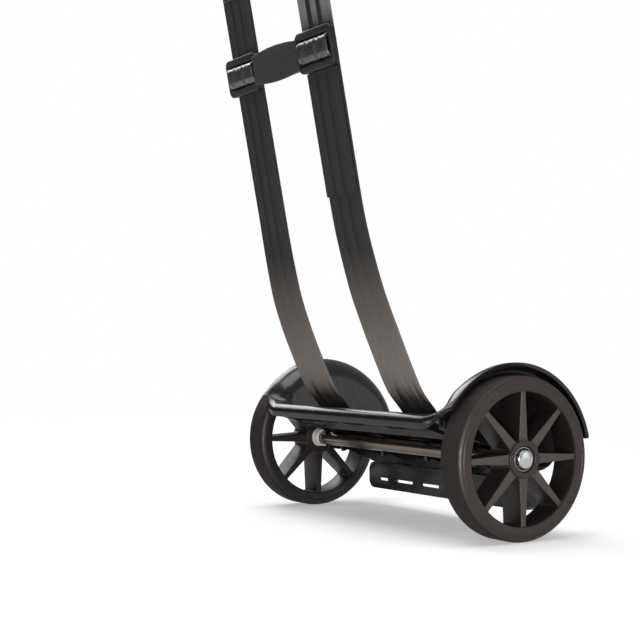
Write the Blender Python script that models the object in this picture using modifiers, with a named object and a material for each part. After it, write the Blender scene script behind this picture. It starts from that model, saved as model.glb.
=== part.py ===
"""Transport wheel for a double bass: a moulded cradle on two spoked wheels, with two webbing straps.

The cradle takes the lower corner of the instrument's body between its two wheel hoods. The straps
come up through the cradle's deck, run up the instrument's side and pass behind two sliders that a
short band links. The axle lies along Y, the front of the cradle is at -X and Z is up. Each length is
in metres, and a section point is an (x, z) pair measured from the axle's centre.
"""
import math

import bmesh
import bpy
from mathutils import Matrix, Vector

# Running and seating clearances
GAP = 0.0003

# Wheels: 5 inch moulded wheels with eight deep spokes
WHEEL_RADIUS = 0.0635
WHEEL_WIDTH = 0.0254
RIM_DEPTH = 0.0119
TREAD_FILLET = 0.0045
RIM_CHAMFER = 0.0008
HUB_RADIUS = 0.0145
SPOKE_COUNT = 8
SPOKE_WIDTH_HUB = 0.0100
SPOKE_WIDTH_RIM = 0.0048
SPOKE_INSET = 0.0016
CAP_RECESS_RADIUS = 0.0101
CAP_RECESS_DEPTH = 0.0030
WHEEL_STEPS = 48

# Axle and what is on it
AXLE_RADIUS = 0.00635
AXLE_CHAMFER = 0.0008
BUSH_WALL = 0.0016
SPACER_WALL = 0.0012
SPACER_LENGTH = 0.0080
WASHER_RADIUS = 0.0092
WASHER_THICKNESS = 0.0012
CAP_WALL = 0.0008
CAP_HEIGHT = 0.0032
TURNED_STEPS = 32

# Cradle: one moulded shell with ribs under its deck and a rail behind
WALL = 0.0036
DECK_ANGLE = math.radians(21.8)
DECK_OVER_AXLE = 0.0115
DECK_FRONT = -0.0549
DECK_REAR = 0.0485
FRONT_ROLL = 0.0070
FRONT_LIP = 0.0036
LIP_ANGLE = math.radians(187)
LIP_STEPS = 7
LIP_AT_HOOD = 0.30
REAR_ROLL = 0.0080
SEAT_WIDTH = 0.236
SEAT_FILLET = 0.0080
WALL_DRAFT = 0.0060
HOOD_CLEARANCE = 0.0099
HOOD_SETBACK = 0.0065
HOOD_DROP = 0.0035
HOOD_FRONT_ANGLE = math.radians(145)
HOOD_REAR_ANGLE = math.radians(12)
HOOD_ROLL = 0.0200
HOOD_COVER = 0.0087
HOOD_EDGE = 0.0025
LOW_HOOD = 0.0100
HIGH_HOOD = 0.0320
DECK_STEPS = 10

# Rail across the back of the cradle
RAIL_SHORTER = 0.0080
RAIL_BOTTOM = -0.0470
RAIL_TOP = -0.0229
RAIL_DEPTH = 0.0112
RAIL_CORNER = 0.0080
RAIL_EDGE = 0.0030
SKIRT_THINNER = 0.0012
WINDOW_COUNT = 6
WINDOW_BAR = 0.0112
WINDOW_END_WALL = 0.0030
WINDOW_HEIGHT = 0.0034
WINDOW_RISE = 0.0088
SKIRT_RIB_THICKNESS = 0.0016
SKIRT_RIB_DEPTH = 0.0050
SKIRT_RIB_PLACES = (-0.0115, -0.0160)

# Webs that carry the axle, and the long ribs between them
WEB_THICKNESS = 0.0032
WEB_PLACES = (0.0320, 0.0965)
BRACKET_THICKNESS = 0.0072
WEB_DEPTH_FRONT = 0.0060
WEB_UNDER_AXLE = 0.0040
LONG_RIB_THICKNESS = 0.0024
LONG_RIB_DEPTH = 0.0052
LONG_RIB_PLACES = (-0.0230, 0.0135)

# Straps: flat webbing
STRAP_WIDTH = 0.048
STRAP_THICKNESS = 0.0022
STRAP_SPACING = 0.1276
STRAP_LEAN = math.atan(0.195)
STRAP_TOP = 0.400
STRAP_STRAIGHT_FROM = 0.2032
STRAP_LINE_X = -0.0964
HEM_LENGTH = 0.034
SLOT_PLACE = 0.0350
SLOT_SIDE_ROOM = 0.0020
SLOT_WIDTH = 0.0060
LANE_DEPTH = 0.0006
LANE_SIDE_ROOM = 0.0010
STRAP_TURN = math.radians(3.2)
STRAP_TURN_AT = 0.020
STRAP_TURN_FROM = 0.085
STRAP_BEND = 0.0030
STRAP_STOP = 0.0110

# Sliders, the webbing looped over their bars, and the band that links them
SLIDER_HEIGHT_ON_STRAP = 0.3175
SLIDER_SIDE = 0.0052
SLIDER_LENGTH = 0.0335
SLIDER_THICKNESS = 0.0056
SLIDER_CORNER = 0.0055
SLIDER_WINDOW = 0.0200
SLIDER_BEVEL = 0.0009
BAR_RADIUS = 0.0018
LOOP_THICKNESS = 0.0020
BAND_THICKNESS = 0.0032
BAND_END_THICKNESS = 0.0018
BAND_END_WIDTH = 0.0240
BAND_MIDDLE_WIDTH = 0.0300
TAIL_LENGTH = 0.098
TAIL_THICKNESS = 0.0018

# Places worked out from the sizes above
BRACKET_OUTER = SEAT_WIDTH / 2 + BRACKET_THICKNESS
TRACK = 2 * (BRACKET_OUTER + GAP + SPACER_LENGTH + GAP) + WHEEL_WIDTH
HOOD_RADIUS = WHEEL_RADIUS + HOOD_CLEARANCE + WALL
RAIL_LENGTH = SEAT_WIDTH - RAIL_SHORTER
WINDOW_LENGTH = (RAIL_LENGTH - 2 * WINDOW_END_WALL - (WINDOW_COUNT - 1) * WINDOW_BAR) / WINDOW_COUNT
AXLE_BORE = AXLE_RADIUS + GAP
BUSH_RADIUS = AXLE_BORE + BUSH_WALL
HUB_BORE = BUSH_RADIUS + GAP
WHEEL_INNER_FACE = TRACK / 2 - WHEEL_WIDTH / 2
SLOPE = math.tan(DECK_ANGLE)
DECK_NORMAL = Vector((math.sin(DECK_ANGLE), math.cos(DECK_ANGLE)))
HOOD_LIP = TRACK / 2 + WHEEL_WIDTH / 2 - (WHEEL_WIDTH - HOOD_COVER)
CUTTER_MARGIN = 0.004


def clear_scene():
    """Remove whatever the file holds, and make the two collections."""
    for thing in list(bpy.data.objects):
        bpy.data.objects.remove(thing, do_unlink=True)
    for group in list(bpy.data.collections):
        bpy.data.collections.remove(group)
    parts = bpy.data.collections.new("double_bass_transport_wheel")
    cutters = bpy.data.collections.new("cutters")
    bpy.context.scene.collection.children.link(parts)
    bpy.context.scene.collection.children.link(cutters)
    return parts, cutters


PARTS, CUTTERS = clear_scene()


def material(name, colour, roughness, metallic=0.0):
    """A Principled material; the colour is linear."""
    made = bpy.data.materials.new(name)
    made.use_nodes = True
    shader = made.node_tree.nodes["Principled BSDF"]
    shader.inputs["Base Color"].default_value = (*colour, 1.0)
    shader.inputs["Roughness"].default_value = roughness
    shader.inputs["Metallic"].default_value = metallic
    return made


CRADLE_PLASTIC = material("moulded_abs", (0.012, 0.011, 0.012), 0.28)
WHEEL_PLASTIC = material("moulded_nylon", (0.020, 0.019, 0.019), 0.42)
BUSH_PLASTIC = material("natural_acetal", (0.62, 0.60, 0.56), 0.45)
ROD_STEEL = material("polished_steel", (0.60, 0.60, 0.60), 0.18, 1.0)
PLATED_STEEL = material("zinc_plated_steel", (0.70, 0.70, 0.70), 0.25, 1.0)
WEBBING = material("polyester_webbing", (0.030, 0.028, 0.028), 0.65)
SLIDER_PLASTIC = material("moulded_acetal", (0.016, 0.015, 0.015), 0.40)
BAND_RUBBER = material("moulded_rubber", (0.014, 0.012, 0.012), 0.60)


def add_object(name, mesh, finish=None, parent=None, place=(0, 0, 0), turn=(0, 0, 0)):
    """Link a mesh as a part, or as a cutter when it has no finish."""
    made = bpy.data.objects.new(name, mesh)
    made.location = place
    made.rotation_euler = turn
    made.parent = parent
    if finish is None:
        CUTTERS.objects.link(made)
        made.hide_render = True
        made.display_type = "WIRE"
    else:
        mesh.materials.clear()
        mesh.materials.append(finish)
        PARTS.objects.link(made)
    return made


def add_empty(name, place, parent=None, turn=(0, 0, 0)):
    made = bpy.data.objects.new(name, None)
    made.location = place
    made.rotation_euler = turn
    made.parent = parent
    PARTS.objects.link(made)
    return made


def mesh_from(bm, name):
    mesh = bpy.data.meshes.new(name)
    bmesh.ops.recalc_face_normals(bm, faces=bm.faces)
    bm.to_mesh(mesh)
    bm.free()
    return mesh


def smooth(thing, degrees=35):
    thing.data.shade_smooth()
    thing.data.set_sharp_from_angle(angle=math.radians(degrees))


def boolean(thing, other, operation):
    step = thing.modifiers.new(f"{operation.lower()}_{other.name}", "BOOLEAN")
    step.operation = operation
    step.object = other
    step.solver = "EXACT"


def bevel(thing, width, segments=2, degrees=40):
    step = thing.modifiers.new("rounded_edges", "BEVEL")
    step.width = width
    step.segments = segments
    step.limit_method = "ANGLE"
    step.angle_limit = math.radians(degrees)


# Planes that a flat outline can be drawn in, each a turn of the curve's own XY plane
IN_XZ = Matrix(((1, 0, 0, 0), (0, 0, -1, 0), (0, 1, 0, 0), (0, 0, 0, 1)))
IN_YZ = Matrix(((0, 0, 1, 0), (1, 0, 0, 0), (0, 1, 0, 0), (0, 0, 0, 1)))


def plate_mesh(name, outlines, thickness, plane):
    """A flat piece of the given thickness: the first outline is its edge, the others are holes."""
    curve = bpy.data.curves.new(name, "CURVE")
    curve.dimensions = "2D"
    curve.fill_mode = "BOTH"
    curve.extrude = thickness / 2
    for outline in outlines:
        spline = curve.splines.new("POLY")
        spline.points.add(len(outline) - 1)
        for point, (a, b) in zip(spline.points, outline):
            point.co = (a, b, 0.0, 1.0)
        spline.use_cyclic_u = True
    holder = bpy.data.objects.new(name, curve)
    CUTTERS.objects.link(holder)
    graph = bpy.context.evaluated_depsgraph_get()
    mesh = bpy.data.meshes.new_from_object(holder.evaluated_get(graph))
    bpy.data.objects.remove(holder)
    bpy.data.curves.remove(curve)
    bm = bmesh.new()
    bm.from_mesh(mesh)
    bpy.data.meshes.remove(mesh)
    bmesh.ops.remove_doubles(bm, verts=bm.verts, dist=0.000001)
    bmesh.ops.transform(bm, matrix=plane, verts=bm.verts)
    return mesh_from(bm, name)


def arc(centre, radius, start, end, steps):
    """Points along an arc, angles in radians, both ends included."""
    points = []
    for step in range(steps + 1):
        angle = start + (end - start) * step / steps
        points.append((centre[0] + radius * math.cos(angle), centre[1] + radius * math.sin(angle)))
    return points


def rounded_rectangle(width, height, radius, steps=5, centre=(0.0, 0.0)):
    points = []
    for quarter, (sx, sy) in enumerate(((1, 1), (-1, 1), (-1, -1), (1, -1))):
        middle = (centre[0] + sx * (width / 2 - radius), centre[1] + sy * (height / 2 - radius))
        start = quarter * math.pi / 2
        points += arc(middle, radius, start, start + math.pi / 2, steps)
    return points


def turned(name, profile, finish, parent, place, turn, steps=TURNED_STEPS):
    """A turned piece: the closed profile of (radius, height) runs down its outer side first."""
    bm = bmesh.new()
    corners = [bm.verts.new((radius, 0.0, height)) for radius, height in profile]
    for first, second in zip(corners, corners[1:] + corners[:1]):
        bm.edges.new((first, second))
    mesh = bpy.data.meshes.new(name)
    bm.to_mesh(mesh)
    bm.free()
    made = add_object(name, mesh, finish, parent, place, turn)
    step = made.modifiers.new("turn", "SCREW")
    step.steps = steps
    step.render_steps = steps
    step.use_merge_vertices = True
    step.merge_threshold = 0.000001
    step.use_smooth_shade = True
    return made


# Wheels


def rim_profile():
    """The rim's ring: a flat tread with rounded shoulders, and a straight opening."""
    half = WHEEL_WIDTH / 2
    shoulder = WHEEL_RADIUS - TREAD_FILLET
    opening = WHEEL_RADIUS - RIM_DEPTH
    points = arc((shoulder, half - TREAD_FILLET), TREAD_FILLET, math.pi / 2, 0, 4)
    points += arc((shoulder, TREAD_FILLET - half), TREAD_FILLET, 0, -math.pi / 2, 4)
    points += [(opening + RIM_CHAMFER, -half), (opening, RIM_CHAMFER - half)]
    points += [(opening, half - RIM_CHAMFER), (opening + RIM_CHAMFER, half)]
    return points


def hub_profile():
    """The hub, bored for its bush, with a recess in its outer face for the cap."""
    half = WHEEL_WIDTH / 2
    floor = half - CAP_RECESS_DEPTH
    return [
        (HUB_RADIUS - RIM_CHAMFER, half),
        (HUB_RADIUS, half - RIM_CHAMFER),
        (HUB_RADIUS, RIM_CHAMFER - half),
        (HUB_RADIUS - RIM_CHAMFER, -half),
        (HUB_BORE, -half),
        (HUB_BORE, floor),
        (CAP_RECESS_RADIUS, floor),
        (CAP_RECESS_RADIUS, half),
    ]


def spokes_mesh():
    """Eight deep plates that taper from the hub to the rim."""
    bm = bmesh.new()
    inner = HUB_RADIUS - 0.002
    outer = WHEEL_RADIUS - RIM_DEPTH + 0.002
    depth = WHEEL_WIDTH - 2 * SPOKE_INSET
    for index in range(SPOKE_COUNT):
        made = bmesh.ops.create_cube(bm, size=1.0)
        for vert in made["verts"]:
            at_rim = vert.co.x > 0
            width = SPOKE_WIDTH_RIM if at_rim else SPOKE_WIDTH_HUB
            vert.co = Vector((outer if at_rim else inner, vert.co.y * width, vert.co.z * depth))
        turn = Matrix.Rotation(2 * math.pi * index / SPOKE_COUNT, 4, "Z")
        bmesh.ops.transform(bm, matrix=turn, verts=made["verts"])
    return mesh_from(bm, "spokes")


def build_wheel(side, name, root):
    """One wheel with its bush; side is -1 for the near wheel and 1 for the far one."""
    centre = (0.0, side * TRACK / 2, 0.0)
    turn = (-side * math.pi / 2, 0.0, 0.0)
    wheel = turned(f"{name}_wheel", rim_profile(), WHEEL_PLASTIC, root, centre, turn, WHEEL_STEPS)
    hub = turned(f"{name}_hub_core", hub_profile(), None, root, centre, turn)
    spokes = add_object(f"{name}_spokes", spokes_mesh(), None, root, centre, turn)
    boolean(wheel, spokes, "UNION")
    boolean(wheel, hub, "UNION")
    half = WHEEL_WIDTH / 2
    floor = half - CAP_RECESS_DEPTH
    bush = [(BUSH_RADIUS, floor), (BUSH_RADIUS, -half), (AXLE_BORE, -half), (AXLE_BORE, floor)]
    turned(f"{name}_hub_bush", bush, BUSH_PLASTIC, root, centre, turn)


# Axle, spacers, washers and caps


def build_axle(root):
    reach = TRACK / 2 + WHEEL_WIDTH / 2 - CAP_RECESS_DEPTH + WASHER_THICKNESS + 2 * GAP + CAP_HEIGHT / 2
    profile = [
        (AXLE_RADIUS - AXLE_CHAMFER, reach),
        (AXLE_RADIUS, reach - AXLE_CHAMFER),
        (AXLE_RADIUS, AXLE_CHAMFER - reach),
        (AXLE_RADIUS - AXLE_CHAMFER, -reach),
    ]
    bm = bmesh.new()
    corners = [bm.verts.new((0.0, 0.0, reach))]
    corners += [bm.verts.new((radius, 0.0, height)) for radius, height in profile]
    corners.append(bm.verts.new((0.0, 0.0, -reach)))
    for first, second in zip(corners, corners[1:]):
        bm.edges.new((first, second))
    mesh = bpy.data.meshes.new("axle")
    bm.to_mesh(mesh)
    bm.free()
    axle = add_object("axle", mesh, ROD_STEEL, root, (0, 0, 0), (math.pi / 2, 0, 0))
    step = axle.modifiers.new("turn", "SCREW")
    step.steps = TURNED_STEPS
    step.render_steps = TURNED_STEPS
    step.use_merge_vertices = True
    step.merge_threshold = 0.000001
    step.use_smooth_shade = True


def build_axle_end(side, name, root):
    """Spacer inside the wheel, and the washer and domed cap in its outer recess."""
    turn = (-side * math.pi / 2, 0.0, 0.0)
    inner = BRACKET_OUTER + GAP
    outer = WHEEL_INNER_FACE - GAP
    radius = AXLE_BORE + SPACER_WALL
    spacer = [(radius, outer - inner), (radius, 0.0), (AXLE_BORE, 0.0), (AXLE_BORE, outer - inner)]
    turned(f"{name}_axle_spacer", spacer, BUSH_PLASTIC, root, (0, side * inner, 0), turn)
    seat = TRACK / 2 + WHEEL_WIDTH / 2 - CAP_RECESS_DEPTH + GAP
    washer = [
        (WASHER_RADIUS, WASHER_THICKNESS), (WASHER_RADIUS, 0.0),
        (AXLE_BORE, 0.0), (AXLE_BORE, WASHER_THICKNESS),
    ]
    turned(f"{name}_cap_washer", washer, PLATED_STEEL, root, (0, side * seat, 0), turn)
    base = seat + WASHER_THICKNESS + GAP
    build_cap(f"{name}_axle_cap", root, (0, side * base, 0), turn)


def build_cap(name, root, place, turn):
    """A domed cap pushed over the end of the axle, open at its base."""
    radius = AXLE_BORE + CAP_WALL
    inside = CAP_HEIGHT / 2 + GAP
    shoulder = CAP_HEIGHT * 0.45
    profile = [(0.0, CAP_HEIGHT)]
    for step in range(1, 6):
        angle = math.pi / 2 * step / 5
        profile.append((radius * math.sin(angle), shoulder + (CAP_HEIGHT - shoulder) * math.cos(angle)))
    profile += [(radius, 0.0), (AXLE_BORE, 0.0), (AXLE_BORE, inside), (0.0, inside)]
    bm = bmesh.new()
    corners = [bm.verts.new((r, 0.0, h)) for r, h in profile]
    for first, second in zip(corners, corners[1:]):
        bm.edges.new((first, second))
    mesh = bpy.data.meshes.new(name)
    bm.to_mesh(mesh)
    bm.free()
    cap = add_object(name, mesh, PLATED_STEEL, root, place, turn)
    step = cap.modifiers.new("turn", "SCREW")
    step.steps = TURNED_STEPS
    step.render_steps = TURNED_STEPS
    step.use_merge_vertices = True
    step.merge_threshold = 0.000001
    step.use_smooth_shade = True


# Cradle


def eased(share):
    """A share from 0 to 1 that starts and ends gently."""
    share = min(1.0, max(0.0, share))
    return share * share * (3 - 2 * share)


def deck_top(x):
    """Height of the deck's upper face over the axle's centre."""
    return DECK_OVER_AXLE - SLOPE * x


def cradle_sections():
    """Pairs of section points from the deck's front to its rear roll: (on the deck, on the hood's edge)."""
    front = Vector((DECK_FRONT, deck_top(DECK_FRONT)))
    rear = Vector((DECK_REAR, deck_top(DECK_REAR)))
    normal_angle = math.atan2(DECK_NORMAL.y, DECK_NORMAL.x)
    deck_line = []
    for step in range(DECK_STEPS + 1):
        deck_line.append(front.lerp(rear, step / DECK_STEPS))
    rear_centre = rear - DECK_NORMAL * REAR_ROLL
    deck_line += [Vector(point) for point in arc(rear_centre, REAR_ROLL, normal_angle, 0.0, 4)[1:]]
    hood_line = arc(
        (HOOD_SETBACK, -HOOD_DROP), HOOD_RADIUS, HOOD_FRONT_ANGLE, HOOD_REAR_ANGLE, len(deck_line) - 1)
    return [(deck, Vector(hood)) for deck, hood in zip(deck_line, hood_line)]


def across(height):
    """Stations from the middle of the deck out to the hood's edge: (y, share of the height).

    Where the hood stands high its wall is upright; where it is low the deck rises to it in an S.
    """
    fillet = min(SEAT_FILLET, 0.30 * height)
    roll = min(HOOD_ROLL, 0.60 * height)
    wall = SEAT_WIDTH / 2
    flat = wall - SEAT_FILLET
    flat_from = HOOD_LIP - HOOD_EDGE
    stations = []
    for step in range(5):
        angle = math.pi / 2 * step / 4
        stations.append((flat + SEAT_FILLET * math.sin(angle), fillet * (1 - math.cos(angle))))
    roll_from = wall + WALL_DRAFT * (height - roll - fillet) / (HOOD_RADIUS - DECK_OVER_AXLE)
    for step in range(1, 4):
        share = step / 4
        stations.append((wall + (roll_from - wall) * share, fillet + (height - roll - fillet) * share))
    for step in range(7):
        angle = math.pi / 2 * step / 6
        y = roll_from + (flat_from - roll_from) * (1 - math.cos(angle))
        stations.append((y, height - roll + roll * math.sin(angle)))
    high = eased((height - LOW_HOOD) / (HIGH_HOOD - LOW_HOOD))
    blended = [(flat * step / 4, 0.0) for step in range(4)]
    for index, (y, level) in enumerate(stations):
        share = index / (len(stations) - 1)
        rise = eased(share)
        easy_y = flat + (flat_from - flat) * share
        blended.append((easy_y + (y - easy_y) * high, rise + (level / height - rise) * high))
    return blended + [(HOOD_LIP, 1.0)]


def half_shell_mesh():
    """The shell's upper face on the +Y side, open at the middle plane, from the front lip's edge back.

    The front lip rolls right under along the deck and opens out as it rises to the hood's edge.
    """
    rows = []
    for deck, hood in cradle_sections():
        row = []
        for y, share in across((hood - deck).length):
            point = deck.lerp(hood, share)
            row.append((point.x, y, point.y, share))
        rows.append(row)
    deck_angle = math.atan2(DECK_NORMAL.y, DECK_NORMAL.x)
    lip = [[] for _ in range(LIP_STEPS + 1)]
    for x, y, z, share in rows[0]:
        angle = deck_angle + (HOOD_FRONT_ANGLE - deck_angle) * share
        centre = (x - FRONT_ROLL * math.cos(angle), z - FRONT_ROLL * math.sin(angle))
        full = 1 - (1 - LIP_AT_HOOD) * eased(share)
        end = angle + (LIP_ANGLE - angle) * full
        curl = arc(centre, FRONT_ROLL, end, angle, LIP_STEPS)[:-1]
        foot = (curl[0][0] - math.sin(end) * FRONT_LIP * full, curl[0][1] + math.cos(end) * FRONT_LIP * full)
        for line, (px, pz) in zip(lip, [foot] + curl):
            line.append((px, y, pz, share))
    bm = bmesh.new()
    grid = [[bm.verts.new(point[:3]) for point in row] for row in lip + rows]
    for row, following in zip(grid, grid[1:]):
        for a, b, c, d in zip(row, row[1:], following[1:], following):
            bm.faces.new((a, b, c, d))
    bm.normal_update()
    middle = max(bm.faces, key=lambda face: abs(face.normal.z))
    if middle.normal.z < 0:
        bmesh.ops.reverse_faces(bm, faces=bm.faces)
    mesh = bpy.data.meshes.new("cradle")
    bm.to_mesh(mesh)
    bm.free()
    return mesh


def web_outline(deep):
    """A web under the deck: it hooks over the back half of the axle and runs on to the rail."""
    inside = WALL / 2
    front = DECK_FRONT + 0.004
    rear = DECK_REAR + REAR_ROLL / 2
    bore = AXLE_BORE
    wall = WEB_UNDER_AXLE
    points = [(front, deck_top(front) - inside), (rear, deck_top(rear) - inside)]
    if not deep:
        points += [(rear, RAIL_TOP - RAIL_EDGE), (rear - RAIL_DEPTH / 2, RAIL_TOP - RAIL_EDGE)]
    points += [(bore + wall, -bore - wall)]
    points += arc((0.0, 0.0), bore + wall, math.radians(-60), math.radians(-88), 2)
    points += arc((0.0, 0.0), bore, math.radians(-88), math.radians(92), 12)
    upper = deck_top(-bore) - WALL - WEB_DEPTH_FRONT / 2
    points += [(-bore * 0.6, upper), (front, deck_top(front) - WALL - WEB_DEPTH_FRONT)]
    return points


def build_cradle(root):
    """The shell, its webs, ribs and rail as one moulding, with the strap slots and windows cut."""
    cradle = add_object("cradle", half_shell_mesh(), CRADLE_PLASTIC, root)
    mirror = cradle.modifiers.new("other_side", "MIRROR")
    mirror.use_axis = (False, True, False)
    mirror.merge_threshold = 0.00001
    shell = cradle.modifiers.new("wall", "SOLIDIFY")
    shell.thickness = WALL
    shell.offset = -1.0
    outer_x = DECK_REAR + DECK_NORMAL.x * -REAR_ROLL + REAR_ROLL
    rail_outline = rounded_rectangle(
        RAIL_LENGTH, RAIL_TOP - RAIL_BOTTOM, RAIL_CORNER, 5, (0.0, (RAIL_TOP + RAIL_BOTTOM) / 2))
    rail_mesh = plate_mesh("rail", [rail_outline], RAIL_DEPTH, IN_YZ)
    rail = add_object("rail", rail_mesh, None, root, (outer_x - RAIL_DEPTH / 2, 0, 0))
    bevel(rail, RAIL_EDGE, 3, 60)
    boolean(cradle, build_skirt(root, outer_x), "UNION")
    boolean(cradle, rail, "UNION")
    plates = []
    for place in WEB_PLACES:
        plates += [(web_outline(False), WEB_THICKNESS, -place), (web_outline(False), WEB_THICKNESS, place)]
    place = BRACKET_OUTER - BRACKET_THICKNESS / 2
    plates += [(web_outline(True), BRACKET_THICKNESS, -place), (web_outline(True), BRACKET_THICKNESS, place)]
    boolean(cradle, add_object("webs", plates_mesh("webs", plates, IN_XZ, "Y"), None, root), "UNION")
    ribs = [(long_rib_outline(x), LONG_RIB_THICKNESS, x) for x in LONG_RIB_PLACES]
    boolean(cradle, add_object("long_ribs", plates_mesh("long_ribs", ribs, IN_YZ, "X"), None, root), "UNION")
    boolean(cradle, add_object("skirt_ribs", skirt_ribs_mesh(outer_x), None, root), "UNION")
    boolean(cradle, add_object("lanes", lanes_mesh(), None, root), "DIFFERENCE")
    boolean(cradle, add_object("rail_hollow", rail_hollow_mesh(outer_x), None, root), "DIFFERENCE")
    boolean(cradle, add_object("slots", slots_mesh(), None, root), "DIFFERENCE")
    boolean(cradle, add_object("windows", window_mesh(outer_x), None, root), "DIFFERENCE")


def plates_mesh(name, plates, plane, along):
    """Several flat plates as one mesh: each is (outline, thickness, its place along the axis)."""
    bm = bmesh.new()
    for outline, thickness, place in plates:
        plate = plate_mesh(name, [outline], thickness, plane)
        offset = Vector((place, 0, 0)) if along == "X" else Vector((0, place, 0))
        plate.transform(Matrix.Translation(offset))
        bm.from_mesh(plate)
        bpy.data.meshes.remove(plate)
    return mesh_from(bm, name)


def build_skirt(root, outer_x):
    """The wall that drops from the deck's rear roll to the rail, a little shorter than the rail."""
    top = deck_top(DECK_REAR) - REAR_ROLL * 0.7
    bottom = (RAIL_TOP + RAIL_BOTTOM) / 2
    width = RAIL_LENGTH - RAIL_CORNER
    outline = [(-width / 2, bottom), (width / 2, bottom), (width / 2, top), (-width / 2, top)]
    mesh = plate_mesh("skirt", [outline], WALL - SKIRT_THINNER, IN_YZ)
    return add_object("skirt", mesh, None, root, (outer_x - WALL / 2, 0, 0))


def long_rib_outline(x):
    """The edge of a thin rib along the axle's direction, standing down from the deck."""
    top = deck_top(x) - WALL / 2
    bottom = deck_top(x) - WALL - LONG_RIB_DEPTH
    half = SEAT_WIDTH / 2
    return [(-half, bottom), (half, bottom), (half, top), (-half, top)]


def skirt_ribs_mesh(outer_x):
    """Two thin level ribs along the front of the skirt."""
    bm = bmesh.new()
    middle = outer_x - WALL / 2 - SKIRT_RIB_DEPTH / 2
    for height in SKIRT_RIB_PLACES:
        made = bmesh.ops.create_cube(bm, size=1.0)
        size = (SKIRT_RIB_DEPTH, RAIL_LENGTH - 2 * RAIL_CORNER, SKIRT_RIB_THICKNESS)
        bmesh.ops.scale(bm, vec=size, verts=made["verts"])
        bmesh.ops.translate(bm, vec=(middle, 0, height), verts=made["verts"])
    return mesh_from(bm, "skirt_ribs")


def rail_hollow_mesh(outer_x):
    """The cutter that hollows the rail from behind, so that its wall is even."""
    height = RAIL_TOP - RAIL_BOTTOM - 2 * WALL
    middle = (RAIL_TOP + RAIL_BOTTOM) / 2
    outline = rounded_rectangle(RAIL_LENGTH - 2 * WALL, height, RAIL_CORNER - WALL, 3, (0.0, middle))
    depth = RAIL_DEPTH - WALL + CUTTER_MARGIN
    mesh = plate_mesh("rail_hollow", [outline], depth, IN_YZ)
    mesh.transform(Matrix.Translation((outer_x + CUTTER_MARGIN - depth / 2, 0, 0)))
    return mesh


def lanes_mesh():
    """The cutters of the shallow lanes that the straps lie in, from the deck's front to its rear."""
    bm = bmesh.new()
    middle_x = (DECK_FRONT + DECK_REAR) / 2
    length = (DECK_REAR - DECK_FRONT) / math.cos(DECK_ANGLE) + 2 * CUTTER_MARGIN
    width = STRAP_WIDTH + 2 * LANE_SIDE_ROOM
    centre = Vector((middle_x, deck_top(middle_x))) + DECK_NORMAL * (CUTTER_MARGIN - LANE_DEPTH) / 2
    for side in (-1, 1):
        made = bmesh.ops.create_cube(bm, size=1.0)
        bmesh.ops.scale(bm, vec=(length, width, LANE_DEPTH + CUTTER_MARGIN), verts=made["verts"])
        place = Matrix.Translation((centre.x, side * STRAP_SPACING / 2, centre.y))
        turn = place @ Matrix.Rotation(DECK_ANGLE, 4, "Y")
        bmesh.ops.transform(bm, matrix=turn, verts=made["verts"])
    return mesh_from(bm, "lanes")


def slots_mesh():
    """The cutters of the two strap slots, square to the deck, with round ends."""
    bm = bmesh.new()
    length = STRAP_WIDTH + 2 * SLOT_SIDE_ROOM
    outline = rounded_rectangle(SLOT_WIDTH, length, SLOT_WIDTH * 0.45, 3)
    middle = Vector((SLOT_PLACE, deck_top(SLOT_PLACE))) - DECK_NORMAL * WALL / 2
    for side in (-1, 1):
        plate = plate_mesh("slot", [outline], WALL + 2 * CUTTER_MARGIN, Matrix.Identity(4))
        place = Matrix.Translation((middle.x, side * STRAP_SPACING / 2, middle.y))
        plate.transform(place @ Matrix.Rotation(DECK_ANGLE, 4, "Y"))
        bm.from_mesh(plate)
        bpy.data.meshes.remove(plate)
    return mesh_from(bm, "slots")


def window_mesh(outer_x):
    """The cutters of the rail's windows: a row of long slits."""
    bm = bmesh.new()
    for index in range(WINDOW_COUNT):
        made = bmesh.ops.create_cube(bm, size=1.0)
        depth = RAIL_DEPTH + 2 * CUTTER_MARGIN
        bmesh.ops.scale(bm, vec=(depth, WINDOW_LENGTH, WINDOW_HEIGHT), verts=made["verts"])
        y = (WINDOW_LENGTH + WINDOW_BAR) * (index - (WINDOW_COUNT - 1) / 2)
        place = (outer_x - RAIL_DEPTH / 2, y, RAIL_BOTTOM + WINDOW_RISE)
        bmesh.ops.translate(bm, vec=place, verts=made["verts"])
    return mesh_from(bm, "windows")


# Straps


def strap_line(height):
    """The straight upper run of the straps' middle surface, by its height over the axle."""
    return Vector((STRAP_LINE_X - math.tan(STRAP_LEAN) * (height - STRAP_STRAIGHT_FROM), height))


def strap_turn(share):
    """The turn that the straps' upper run takes about its own direction, as it follows the instrument."""
    pivot = strap_line(STRAP_STRAIGHT_FROM)
    centre = Matrix.Translation((pivot.x, STRAP_TURN_AT, pivot.y))
    direction = Vector((-math.sin(STRAP_LEAN), 0, math.cos(STRAP_LEAN)))
    return centre @ Matrix.Rotation(-STRAP_TURN * share, 4, direction) @ centre.inverted()


def through(points, step):
    """A smooth curve through the points, read about every step metres."""
    points = [Vector(point) for point in points]
    ends = [points[0] * 2 - points[1]] + points + [points[-1] * 2 - points[-2]]
    curve = []
    for index in range(1, len(ends) - 2):
        a, b, c, d = ends[index - 1:index + 3]
        count = max(1, round((c - b).length / step))
        for part in range(count):
            t = part / count
            curve.append(0.5 * (2 * b + (c - a) * t + (2 * a - 5 * b + 4 * c - d) * t * t
                                + (3 * b - a - 3 * c + d) * t * t * t))
    curve.append(points[-1])
    return curve


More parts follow.
